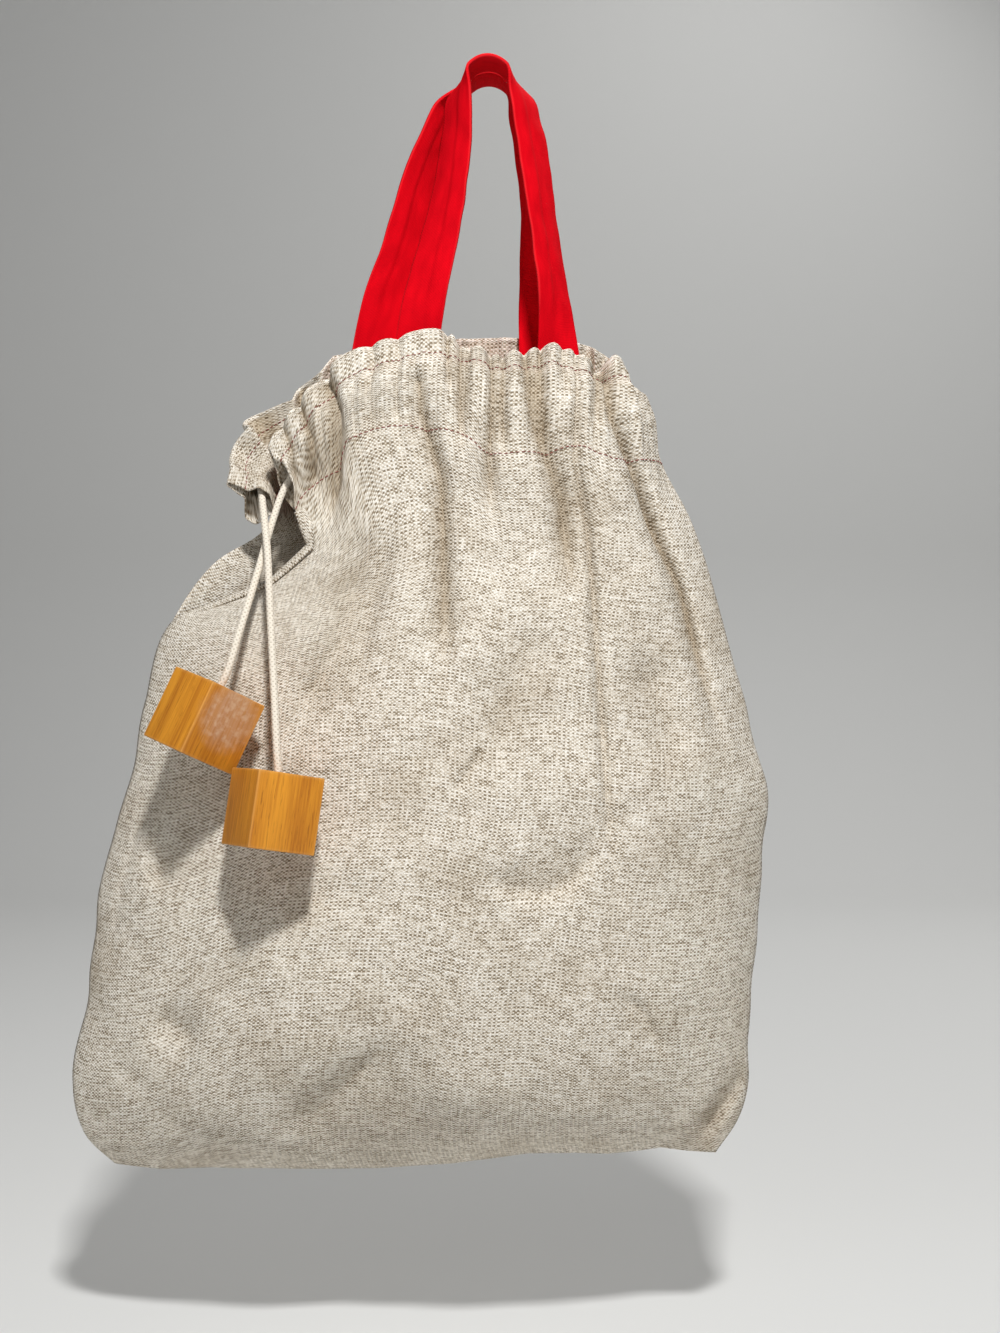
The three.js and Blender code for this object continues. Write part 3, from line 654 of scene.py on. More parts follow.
def panel_points(panel, valleys, dents, rise):
    """The sheet's middle surface: rows from the sewn hem up inside, over the rim and down the wall. With it
    come its places on the flat cloth, how much painted shade darkens them, and the rows of the stitching and
    seam."""
    u = np.linspace(0, 1, panel["columns"])
    facing = panel["facing"]
    centre, up, out = mouth_frame(panel, u)
    places, drops = wall_places(panel, u)
    heights = np.array([casing_height(panel, u, line) for line in CASING_LINES.values()])
    seam_fade = smoothstep(1 - u, 0, SEAM_FADE)
    calm = smoothstep(1 - u, *CALM_SPAN)
    open_end = 1 - smoothstep(u, 0, END_SHARE)

    def fold_places(points, drop):
        """Where folds are looked up: in the front view, or along and down from the back's casing."""
        if panel is FRONT:
            return points[..., 0], points[..., 2]
        shape = points.shape[:-1]
        return np.broadcast_to(u * CASING_RUN, shape), np.broadcast_to(-drop, shape)

    def crest_at(points, drop):
        """One on the ridges of the gathers and about nothing in their valleys."""
        return np.clip(1 - fold_depth(*fold_places(points, drop), valleys, False), *CREST_LIMITS)

    def calmed(crest):
        """The gathers of the casing flatten out towards the right seam."""
        return crest * calm + CALM_CREST * (1 - calm)

    def pucker_at(place, shape):
        """Small upright wrinkles where the cloth is drawn up on the cord and the stitches."""
        run = np.broadcast_to(u * CASING_RUN / PUCKER_SPACING, shape)
        steps = np.stack([run, np.broadcast_to(place * PUCKER_DRIFT, shape), np.zeros(shape)], axis=-1)
        wrinkles = np.clip(0.5 + ripple(steps, PUCKER_SEED + facing), 0, 1)
        return PUCKER_DEPTH * wrinkles * between(place, *PUCKER_ROWS)

    rim_base = centre + up * heights[RIM_PLACE][:, None]
    rim_crest = crest_at(rim_base, np.zeros(len(u)))
    rise_here = (np.interp(centre[:, 0], *rise) + RIM_SWAY * (rim_crest - RIM_MIDDLE)) * seam_fade

    def lifted(base, place):
        """The rim's rise and fall dies away towards the cord."""
        return base + up * (rise_here * (1 - smoothstep(place, 0, RISE_REACH)))[..., None]

    hem_place = np.linspace(*HEM_SPAN, HEM_ROWS)[:, None]
    hem_height = np.array([
        [np.interp(place, range(len(heights)), column) for column in heights.T] for place in hem_place[:, 0]
    ])
    hem_flat = centre + up * hem_height[..., None]
    hem = lifted(hem_flat, hem_place)
    hem_crest = crest_at(hem, heights[RIM_PLACE] - hem_height)
    inner = layer_offsets(hem_place, calmed(hem_crest))[1] - pucker_at(hem_place, hem_height.shape)
    hem = hem + out * (inner * seam_fade - HEM_TUCK * (1 - seam_fade))[..., None]

    rim_outer, rim_inner = layer_offsets(RIM_PLACE, calmed(rim_crest))
    middle = (rim_outer + rim_inner) / 2 * seam_fade
    bends = np.linspace(math.pi, 0, RIM_ROWS)[:, None]
    rounding = RIM_RADIUS * (out * np.cos(bends)[..., None] + up * np.sin(bends)[..., None])
    rim = lifted(rim_base, np.zeros((RIM_ROWS, 1))) + out * middle[:, None] + rounding

    place = places[:, None]
    even = wall_surface(panel, u, places)
    wall = lifted(even, place)
    if panel is FRONT:
        stitch_rise = np.interp(centre[:, 0], *STITCH_RISE)
        wall = wall + up * (stitch_rise * between(place, *STITCH_RISE_ROWS))[..., None]
        cut = END_CUT * between(place, *CUT_ROWS) * open_end
        wall = wall + unit(np.gradient(centre, axis=0)) * cut[..., None]
    wall[..., 2] += np.interp(wall[..., 0], *BOTTOM_RISE) * smoothstep(place, *BOTTOM_RISE_ROWS)
    crest = crest_at(wall, drops[:, None])
    turn = smoothstep(place, *TURN_ROWS)[..., None]
    direction = unit(out * (1 - turn) + np.array([0.0, facing, 0.0]) * turn)
    in_casing = layer_offsets(np.minimum(place, STITCH_PLACE), calmed(crest))[0] - WALL_OFFSET
    if panel is BACK:
        in_casing = in_casing + TUBE_FLARE * between(place, *FLARE_ROWS) * open_end
    dent = fold_depth(*fold_places(wall, drops[:, None]), dents, True)
    sides = np.minimum(1, SIDE_FADE * u * (1 - u))
    bottom = 1 - smoothstep(place, *BOTTOM_FOLD_ROWS)
    share = smoothstep(place, *BODY_ROWS)
    below = FULL_DEPTH * ((crest - 1) * seam_fade - dent) * sides * bottom
    casing_move = in_casing * seam_fade - (WALL_OFFSET - SEAM_TUCK) * (1 - seam_fade)
    move = casing_move * (1 - share) + below * share + pucker_at(place, crest.shape) * seam_fade
    wall = wall + direction * move[..., None]

    points = np.concatenate([hem, rim, wall])
    wall_start = HEM_ROWS + RIM_ROWS
    crumple(panel, u, points, np.concatenate([np.zeros(wall_start), places])[:, None])
    seam_row = wall_start + nearest_row(places, SEAM_PLACE)
    keep_apart(panel, points, seam_row)

    stitch_rows = [wall_start + nearest_row(places, line) for line in (UPPER_PLACE, STITCH_PLACE)]
    stitch_rows += [nearest_row(hem_place[:, 0], line) for line in (UPPER_PLACE, HEM_STITCH_PLACE)]
    folds = np.zeros(points.shape[:2])
    # Painted shade inside the hem, within the mouth, never less than the first of these limits.
    folds[:HEM_ROWS] = np.clip(hem_crest - 1, *HEM_SHADE)
    # Painted shade in the valleys of the folds and in the dents of the wall.
    folds[wall_start:] = FOLD_SHADE * np.clip(1 - crest, 0, 1) ** 2 + DENT_SHADE * np.clip(dent, 0, 1)
    # Painted shade on the back wall behind the slit, where the recess lies in shadow.
    if panel is BACK:
        at_slit = between(u, SLIT_SHADE_START, SLIT_REACH)
        folds[wall_start:] += SLIT_SHADE * at_slit * between(place, *SLIT_SHADE_ROWS)
    flat = flat_places(np.concatenate([hem_flat, rim_base + rounding, even]))
    return {"points": points, "flat": flat, "folds": folds, "stitch_rows": stitch_rows, "seam_row": seam_row}


# The spacing of the threads is what the cloth in the picture shows. A thread wanders a little and thickens
# into slubs here and there, and the cloth has smudges a few centimetres across.
WARP_PITCH = 0.0012
WEFT_PITCH = 0.0009
WANDER_LENGTH = 0.005
WANDER_REACH = 0.0010
SLUB_LENGTH = 0.012
SLUB_WIDTH = 0.0012
SMUDGE_SIZE = 0.045
LINEN_PALE = "#f4efe5"
LINEN_MID = "#d1c6b4"
LINEN_DARK = "#867762"
LINEN_SMUDGE = "#d3cabd"
# The colour of the painted shade in folds, dents, behind the slit and inside the hem.
LINEN_PAINTED_SHADE = "#b3a38a"


def thread_waves(tree, axes, turn):
    """Waves across the threads of both directions, and both together as a plain weave."""
    waves = []
    for axis in ("X", "Y"):
        angle = add_node(tree, "Math", {0: axes[axis], 1: turn}, operation="MULTIPLY")
        waves.append(add_node(tree, "Math", {0: angle}, operation="SINE"))
    return waves, add_node(tree, "Math", {0: waves[0], 1: waves[1]}, operation="MULTIPLY")


def natural_linen():
    """Undyed linen in plain weave: uneven pale and taupe threads that give a speckled, matt oatmeal cloth
    with dark pinholes, darker slubs along the threads, soft greyish smudges and painted shade in the folds
    and hollows."""
    material, tree, shader = new_material("natural_linen", roughness=0.95, specular=0.15)
    cloth = add_node(tree, "UVMap", uv_map="cloth")
    wander = add_node(
        tree, "TexNoise", {"Vector": cloth, "Scale": 1 / WANDER_LENGTH, "Detail": 2.0}, out="Color"
    )
    reach = (WANDER_REACH, WANDER_REACH, 0)
    drift = add_node(tree, "VectorMath", {0: wander, 1: reach}, operation="MULTIPLY")
    thread = add_node(tree, "VectorMath", {0: cloth, 1: drift}, operation="ADD")
    per_metre = (1 / WARP_PITCH, 1 / WEFT_PITCH, 0)
    counted = add_node(tree, "VectorMath", {0: thread, 1: per_metre}, operation="MULTIPLY")
    cell = add_node(tree, "VectorMath", {0: counted}, operation="FLOOR")
    speckle = add_node(tree, "TexWhiteNoise", {"Vector": cell}, noise_dimensions="2D")
    axes = add_node(tree, "SeparateXYZ", {0: counted}, out=None)
    waves, weave = thread_waves(tree, axes, math.pi)
    knuckle = add_node(tree, "Math", {0: weave}, operation="ABSOLUTE")
    slubs = []
    for stretch in ((1 / SLUB_LENGTH, 1 / SLUB_WIDTH, 1), (1 / SLUB_WIDTH, 1 / SLUB_LENGTH, 1)):
        laid = add_node(tree, "VectorMath", {0: cloth, 1: stretch}, operation="MULTIPLY")
        slubs.append(add_node(tree, "TexNoise", {"Vector": laid, "Detail": 2.0, "Scale": 1.0}))
    height = slubs[1]
    for layer, share in ((slubs[0], 1.6), (speckle, 0.6), (knuckle, 0.35), (weave, 0.65), (waves[1], 0.2)):
        height = add_node(tree, "Math", {0: layer, 1: share, 2: height}, operation="MULTIPLY_ADD")
    tone = add_node(tree, "MapRange", {"Value": height, "From Min": 1.13, "From Max": 2.17})
    colour = add_node(tree, "ValToRGB", {0: tone})
    stops = colour.node.color_ramp.elements
    stops[0].color = linear(LINEN_DARK)
    stops[1].color = linear(LINEN_PALE)
    stops.new(0.45).color = linear(LINEN_MID)
    smudge = add_node(tree, "TexNoise", {"Vector": cloth, "Scale": 1 / SMUDGE_SIZE, "Detail": 4.0})
    grey = add_node(tree, "MapRange", {"Value": smudge, "From Min": 0.5, "From Max": 0.75, "To Max": 0.55})
    # Painted shade: the fold value darkens the cloth in folds, dents, behind the slit and inside the hem.
    painted_shade = add_node(tree, "Attribute", out="Fac", attribute_name="fold")
    for amount, tint in ((grey, LINEN_SMUDGE), (painted_shade, LINEN_PAINTED_SHADE)):
        layers = {0: amount, 6: colour, 7: linear(tint)}
        colour = add_node(tree, "Mix", layers, out=2, data_type="RGBA", blend_type="MULTIPLY")
    bump = add_node(tree, "Bump", {"Height": height, "Strength": 0.6, "Distance": 0.0004})
    set_inputs(tree, shader, {"Base Color": colour, "Normal": bump})
    return material


def set_cloth_map(piece, places):
    """Writes each vertex's place on the flat cloth, in metres, as the piece's UV map."""
    layer = piece.data.uv_layers[0]
    layer.name = "cloth"
    corners = np.zeros(len(piece.data.loops), np.int32)
    piece.data.loops.foreach_get("vertex_index", corners)
    layer.data.foreach_set("uv", places.reshape(-1, 2)[corners].astype(np.float32).ravel())


def flat_places(points):
    """Places on the flat cloth: lengths across from the middle column, and down from the first row."""
    across = np.zeros(points.shape[:2])
    across[:, 1:] = np.cumsum(np.linalg.norm(np.diff(points, axis=1), axis=2), axis=1)
    across -= across[:, points.shape[1] // 2][:, None]
    down = np.zeros(points.shape[:2])
    down[1:] = np.cumsum(np.linalg.norm(np.diff(points, axis=0), axis=2), axis=0)
    return np.stack([across, down], axis=2)


def apply_modifier(piece, kind, **settings):
    set_active(piece)
    modifier = piece.modifiers.new(kind.lower(), kind)
    for name, value in settings.items():
        setattr(modifier, name, value)
    bpy.ops.object.modifier_apply(modifier=modifier.name)


def cloth_piece(name, points, flat, thickness, folds=None):
    """A sheet of cloth with its thickness and its map of the flat cloth. It may carry the painted shade of
    each place, which its material reads."""
    piece = grid_piece(name, points)
    set_cloth_map(piece, flat)
    if folds is not None:
        set_values(piece, "fold", folds)
    apply_modifier(piece, "SOLIDIFY", thickness=thickness, offset=0)
    return piece


linen = natural_linen()
front = panel_points(FRONT, FRONT_VALLEYS, FRONT_DENTS, FRONT_RISE)
back = panel_points(BACK, BACK_VALLEYS, BACK_DENTS, BACK_RISE)
for name, sheet, facing, node_name in (
    ("front_linen", front, -1, "front_panel"), ("back_linen", back, 1, "back_panel"),
):
    points, flat, folds = (sheet[part][::facing] for part in ("points", "flat", "folds"))
    piece = cloth_piece(name, points, flat, LINEN_THICK, folds)
    piece.data.materials.append(linen)
    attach(piece, "root")
    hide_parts(node_name)


# Slit hem
# The front's edge at the slit is turned out as a narrow rolled hem of the same linen, doubled and sewn
# down close to the fold. It stands a little off the wall below it.
HEM_PROFILE = (
    (0.0008, -0.0008), (-0.0006, -0.0004), (-0.0010, 0.0005), (-0.0003, 0.0013), (0.0010, 0.0018),
    (0.0030, 0.0019), (0.0048, 0.0018), (0.0060, 0.0013),
)
HEM_REACH = 4
HEM_FADE = 0.75
HEM_END_WIDTH = 0.3


def slit_hem(points, first_row, last_row):
    """Rows across the rolled hem, along the open edge of the front."""
    edge = points[first_row:last_row, 0]
    along = unit(np.gradient(edge, axis=0))
    inward = points[first_row:last_row, HEM_REACH] - edge
    inward = unit(inward - along * np.sum(inward * along, axis=1, keepdims=True))
    outward = np.cross(along, inward)
    fade = 1 - smoothstep(np.linspace(0, 1, len(edge)), HEM_FADE, 1)
    width = HEM_END_WIDTH + (1 - HEM_END_WIDTH) * fade
    rows = [
        edge + inward * (across * width)[:, None] + outward * (rise * fade)[:, None]
        for across, rise in HEM_PROFILE
    ]
    return np.stack(rows, axis=1)


hem_points = slit_hem(front["points"], front["stitch_rows"][1] + 1, front["seam_row"] + 2)
slit_edge = cloth_piece("slit_hem", hem_points[::-1], flat_places(hem_points[::-1]), LINEN_THICK)
slit_edge.data.materials.append(linen)
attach(slit_edge, "root")


# Stitching
# Rows of maroon sewing thread in straight machine stitches: two around each casing, seen on both sides.
# Every stitch dives into the cloth at both ends.
STITCH_LENGTH = 0.0027
STITCH_GAP = 0.0006
THREAD_RADIUS = 0.00026
STITCH_SIDES = 6
THREAD_MAROON = "#7a3a38"
THREAD_LIGHT = "#9c5f56"
THREAD_RUB = 0.004

# Shares along a stitch, its height above the cloth there, and its thickness as a share of the thread's.
STITCH_SHAPE = (
    (0.0, -0.0003, 0.6), (0.2, 0.0002, 0.95), (0.5, 0.0003, 1.0), (0.8, 0.0002, 0.95), (1.0, -0.0003, 0.6),
)


def sewing_thread():
    """Matt polyester thread, dusty maroon, lighter where it was rubbed."""
    material, tree, shader = new_material("sewing_thread", roughness=0.8, specular=0.2)
    place = add_node(tree, "TexCoord", out="Object")
    rubbed = add_node(tree, "TexNoise", {"Vector": place, "Scale": 1 / THREAD_RUB, "Detail": 2.0})
    colour = add_node(
        tree, "Mix", {0: rubbed, 6: linear(THREAD_MAROON), 7: linear(THREAD_LIGHT)}, out=2, data_type="RGBA"
    )
    set_inputs(tree, shader, {"Base Color": colour})
    return material


def stitches_along(line, outward):
    """Vertices and faces of the stitches of one row."""
    run = run_of(line)
    starts = np.arange(0, run[-1] - STITCH_LENGTH, STITCH_LENGTH + STITCH_GAP)
    vertices, faces = [], []
    turn = np.linspace(0, 2 * math.pi, STITCH_SIDES, endpoint=False)
    for start in starts:
        first = len(vertices)
        at = start + STITCH_LENGTH * np.array([share for share, _, _ in STITCH_SHAPE])
        middle = np.stack([np.interp(at, run, line[:, k]) for k in range(3)], axis=1)
        out = unit(np.stack([np.interp(at, run, outward[:, k]) for k in range(3)], axis=1))
        along = unit(middle[-1] - middle[0])
        across = unit(np.cross(along, out))
        for k, (_, rise, size) in enumerate(STITCH_SHAPE):
            ring = across[k] * np.cos(turn)[:, None] + out[k] * np.sin(turn)[:, None]
            vertices.extend(middle[k] + out[k] * rise + ring * THREAD_RADIUS * size)
        for k in range(len(STITCH_SHAPE) - 1):
            for j in range(STITCH_SIDES):
                a = first + k * STITCH_SIDES + j
                b = first + k * STITCH_SIDES + (j + 1) % STITCH_SIDES
                faces.append((a, b, b + STITCH_SIDES, a + STITCH_SIDES))
        faces.append(tuple(range(first + STITCH_SIDES - 1, first - 1, -1)))
        last = first + STITCH_SIDES * (len(STITCH_SHAPE) - 1)
        faces.append(tuple(range(last, last + STITCH_SIDES)))
    return vertices, faces


def stitched_piece(name, rows):
    """One mesh of all the stitches of some rows, each a line with the directions out of the cloth."""
    vertices, faces = [], []
    for line, outward in rows:
        row_vertices, row_faces = stitches_along(line, outward)
        faces.extend(tuple(i + len(vertices) for i in face) for face in row_faces)
        vertices.extend(row_vertices)
    mesh = bpy.data.meshes.new(name)
    mesh.from_pydata([tuple(v) for v in vertices], [], faces)
    piece = bpy.data.objects.new(name, mesh)
    bpy.context.collection.objects.link(piece)
    merge_doubles(piece)
    bpy.ops.object.shade_smooth()
    return piece


def wall_row(points, row, facing):
    """The outer face of the cloth along one row, and the directions out of it."""
    across = np.gradient(points, axis=1)[row]
    upward = points[max(row - 2, 0)] - points[row + 2]
    outward = unit(np.cross(across, upward)) * -facing
    return points[row] + outward * LINEN_THICK / 2, outward


thread = sewing_thread()
for name, sheet, facing in (("front_stitching", front, -1), ("back_stitching", back, 1)):
    piece = stitched_piece(name, [wall_row(sheet["points"], row, facing) for row in sheet["stitch_rows"]])
    piece.data.materials.append(thread)
    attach(piece, "root")


# Handles
# Two straps of red cotton, each folded lengthways to about 25 mm and pressed flat. Both ends of a strap
# are sewn inside the hem of its own wall, and the straps hang side by side over whatever carries the bag.
STRAP_WIDTH = 0.025
STRAP_THICK = 0.0016
STRAP_CUP = 0.0016
STRAP_LAP = 0.0009
SADDLE_RADIUS = 0.0125
SADDLE_OFFSET = 0.0135
SADDLE_STEPS = 6
SADDLE_END = math.radians(35)
STRAP_COLUMNS = 24
STRAP_STEP = 0.0018
FOOT_HEIGHTS = (-0.006, 0.006, 0.017)
FOOT_OFFSET = -0.0068
STRAP_RED = "#e20618"
STRAP_DEEP = "#cd0414"
STRAP_EDGE_HIGHLIGHT = "#ee3a3e"
STRAP_POINTS = 7
LEG_SAMPLES = 400
STRAP_SAMPLES = 2000
STRAP_FREE = ((0.08, 0.2), (0.8, 0.92))
SADDLE_CALM = 0.8
SADDLE_SHARE = 0.08
LAP_EDGE = (-0.3, -0.1)
STRAP_SWAY = 0.0007
STRAP_SWAY_LENGTH = 0.012
STRAP_SEED = 2.2

# The cotton's threads are about 0.4 mm apart, and drawn coarser so that they show. The dye is streaked along
# the strap, and the last millimetre of its half width is painted paler as a highlight of the folded edge.
COTTON_PITCH = 0.0007
STREAK_WIDTH = 0.006
STREAK_LENGTH = 0.02
STRAP_EDGE = (0.0118, 0.0128)

# Each leg's foot along the casing, then the middle of the strap above the rim, and how far its width is
# turned from facing the front, in degrees.
HANDLE_LEGS = {
    "front_handle": (FRONT, -0.0400, (
        (-0.0345, -0.014, -0.128, -18), (-0.028, -0.014, -0.101, -28), (-0.022, -0.014, -0.074, -38),
        (-0.0178, -0.014, -0.045, -46), (-0.0165, -0.014, -0.030, -52), (-0.0158, -0.0138, -0.016, -58),
    ), 0.040, (
        (0.0362, -0.013, -0.128, 46), (0.0325, -0.013, -0.101, 50), (0.0285, -0.013, -0.074, 50),
        (0.0245, -0.013, -0.045, 48), (0.0215, -0.013, -0.030, 52), (0.0182, -0.0132, -0.016, 58),
    )),
    "back_handle": (BACK, -0.0660, (
        (-0.0575, 0.013, -0.122, 18), (-0.0485, 0.013, -0.095, 30), (-0.041, 0.013, -0.067, 40),
        (-0.0345, 0.013, -0.045, 47), (-0.0280, 0.013, -0.030, 52), (-0.0215, 0.0132, -0.016, 56),
    ), 0.030, (
        (0.027, 0.013, -0.122, -40), (0.0253, 0.013, -0.095, -54), (0.0244, 0.013, -0.067, -60),
        (0.0213, 0.013, -0.045, -63), (0.0187, 0.013, -0.030, -66), (0.0163, 0.0132, -0.016, -68),
    )),
}
strap_across = np.linspace(-0.5, 0.5, STRAP_POINTS) * STRAP_WIDTH


def leg_rows(panel, foot_x, rows):
    """Rows across a strap's leg: its foot on the turned-in hem, then the free length above the rim."""
    shares = np.linspace(0, 1, LEG_SAMPLES)
    casing_x = mouth_frame(panel, shares)[0][:, 0]
    u = np.interp(foot_x + strap_across, casing_x, shares)
    centre, up, out = mouth_frame(panel, u)
    made = [centre + up * height + out * FOOT_OFFSET for height in FOOT_HEIGHTS]
    for x, y, z, turn in rows:
        width = np.array([math.cos(math.radians(turn)), math.sin(math.radians(turn)), 0.0])
        made.append(np.array([x, y, z]) + strap_across[:, None] * width)
    return made


def strap_points(panel, left_x, left, right_x, right):
    """Rows along a whole strap, from its left foot over the saddle to its right foot. The front strap
    turns its outer face to the front on both legs, and the back strap its inner face."""
    facing = panel["facing"]
    rows = [row[::facing] for row in leg_rows(panel, left_x, left)]
    reach = SADDLE_RADIUS + STRAP_THICK / 2
    for angle in np.linspace(math.pi - SADDLE_END, SADDLE_END, SADDLE_STEPS + 1):
        height = reach * math.sin(angle) - SADDLE_RADIUS
        middle = np.array([reach * math.cos(angle), facing * SADDLE_OFFSET, height])
        rows.append(middle + strap_across[:, None] * np.array([0.0, 1.0, 0.0]))
    rows += [row[::-facing] for row in reversed(leg_rows(panel, right_x, right))]
    rows = np.array(rows)
    fine = np.linspace(0, len(rows) - 1, STRAP_SAMPLES)
    run = run_of(smooth_line(rows[:, STRAP_POINTS // 2], fine))
    places = np.interp(np.linspace(0, run[-1], round(run[-1] / STRAP_STEP)), run, fine)
    columns = np.linspace(0, STRAP_POINTS - 1, STRAP_COLUMNS + 1)
    points = smooth_line(smooth_line(rows, places).transpose(1, 0, 2), columns).transpose(1, 0, 2)
    outward = unit(np.cross(np.gradient(points, axis=1), np.gradient(points, axis=0)))
    share = np.linspace(0, 1, len(points))[:, None]
    free = between(share, *STRAP_FREE) * (1 - SADDLE_CALM * np.exp(-(((share - 0.5) / SADDLE_SHARE) ** 2)))
    across = np.linspace(-1, 1, STRAP_COLUMNS + 1)[None, :]
    cup = facing * (STRAP_CUP * (0.5 - across**2) + STRAP_LAP * (1 - smoothstep(across, *LAP_EDGE)))
    sway = STRAP_SWAY * ripple(points / STRAP_SWAY_LENGTH, STRAP_SEED)
    return points + outward * (cup * free + sway * free)[..., None], float(run[-1])


def red_cotton():
    """Dyed plain-weave cotton: a deep matt red, with a painted highlight that makes it a little paler along
    its folded edges.
    """
    material, tree, shader = new_material("red_cotton", roughness=0.9, specular=0.04)
    cloth = add_node(tree, "UVMap", uv_map="cloth")
    axes = add_node(tree, "SeparateXYZ", {0: cloth}, out=None)
    weave = thread_waves(tree, axes, math.pi / COTTON_PITCH)[1]
    stretch = (1 / STREAK_WIDTH, 1 / STREAK_LENGTH, 1)
    streak = add_node(tree, "VectorMath", {0: cloth, 1: stretch}, operation="MULTIPLY")
    fade = add_node(tree, "TexNoise", {"Vector": streak, "Scale": 1.0, "Detail": 4.0})
    deep = add_node(tree, "Math", {0: weave, 1: 0.12, 2: fade}, operation="MULTIPLY_ADD")
    level = add_node(tree, "MapRange", {"Value": deep, "From Min": 0.35, "From Max": 0.7})
    # Painted highlight: the strap is paler in the last millimetre of its half width, along both folded edges.
    across = add_node(tree, "Math", {0: axes["X"]}, operation="ABSOLUTE")
    low, high = STRAP_EDGE
    edge = add_node(tree, "MapRange", {"Value": across, "From Min": low, "From Max": high, "To Max": 0.35})
    colour = linear(STRAP_DEEP)
    for amount, tint in ((level, STRAP_RED), (edge, STRAP_EDGE_HIGHLIGHT)):
        colour = add_node(tree, "Mix", {0: amount, 6: colour, 7: linear(tint)}, out=2, data_type="RGBA")
    bump = add_node(tree, "Bump", {"Height": weave, "Strength": 0.3, "Distance": 0.0002})
    set_inputs(tree, shader, {"Base Color": colour, "Normal": bump})
    return material


cotton = red_cotton()
for name, legs in HANDLE_LEGS.items():
    points, strap_length = strap_points(*legs)
    piece = cloth_piece(name, points, flat_places(points), STRAP_THICK)
    piece.data.materials.append(cotton)
    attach(piece, "root")
    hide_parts("handle_front" if legs[0] is FRONT else "handle_back")


# Blocks
# Two solid wooden blocks, sawn from one honey-stained stick, with a bore in the top for the cord's end.
# Their edges are a little rounded and rubbed, and one face is worn down to paler wood.
BLOCK_SIDE = 0.036
BLOCK_HEIGHT = 0.039
BORE_DIAMETER = 0.0052
BORE_DEPTH = 0.014
BLOCK_EDGE = 0.0007
BLOCK_EDGE_STEPS = 4
SMOOTH_ANGLE = math.radians(40)
WOOD_LIGHT = "#dc942c"
WOOD_DARK = "#b0691b"
WOOD_PORE = "#7d4510"
WOOD_RUBBED = "#e6b878"
WOOD_WORN = "#c29472"
WOOD_BARE = "#dcc0a4"

# Fibres, growth rings and pores, in waves for each metre across and along the grain, with their detail; how
# near an edge the stain is rubbed; the middle of the worn patch, its outer and inner reach, and its blotches.
WOOD_LAYERS = (((900, 900, 35), 4.0), ((130, 130, 9), 2.0), ((1700, 1700, 130), 2.0))
GRAIN_SHIFT = 0.3
RUB_REACH = 0.0009
PATCH_MIDDLE = (0.001, -BLOCK_SIDE / 2, 0.006)
PATCH_REACH = (0.020, 0.011)
BLOTCH_SIZE = 0.0028

# Place of a block, its turn about the cord and its lean to the right and back in degrees, and how worn its
# face is.
BLOCKS = {
    "left_block": ((-0.1452, -0.0665, -0.3548), 43.5, 24.3, 6, 0.85, "cube_left"),
    "right_block": ((-0.1079, -0.0835, -0.400), 29.5, 7.5, 6, 0.0, "cube_right"),
}


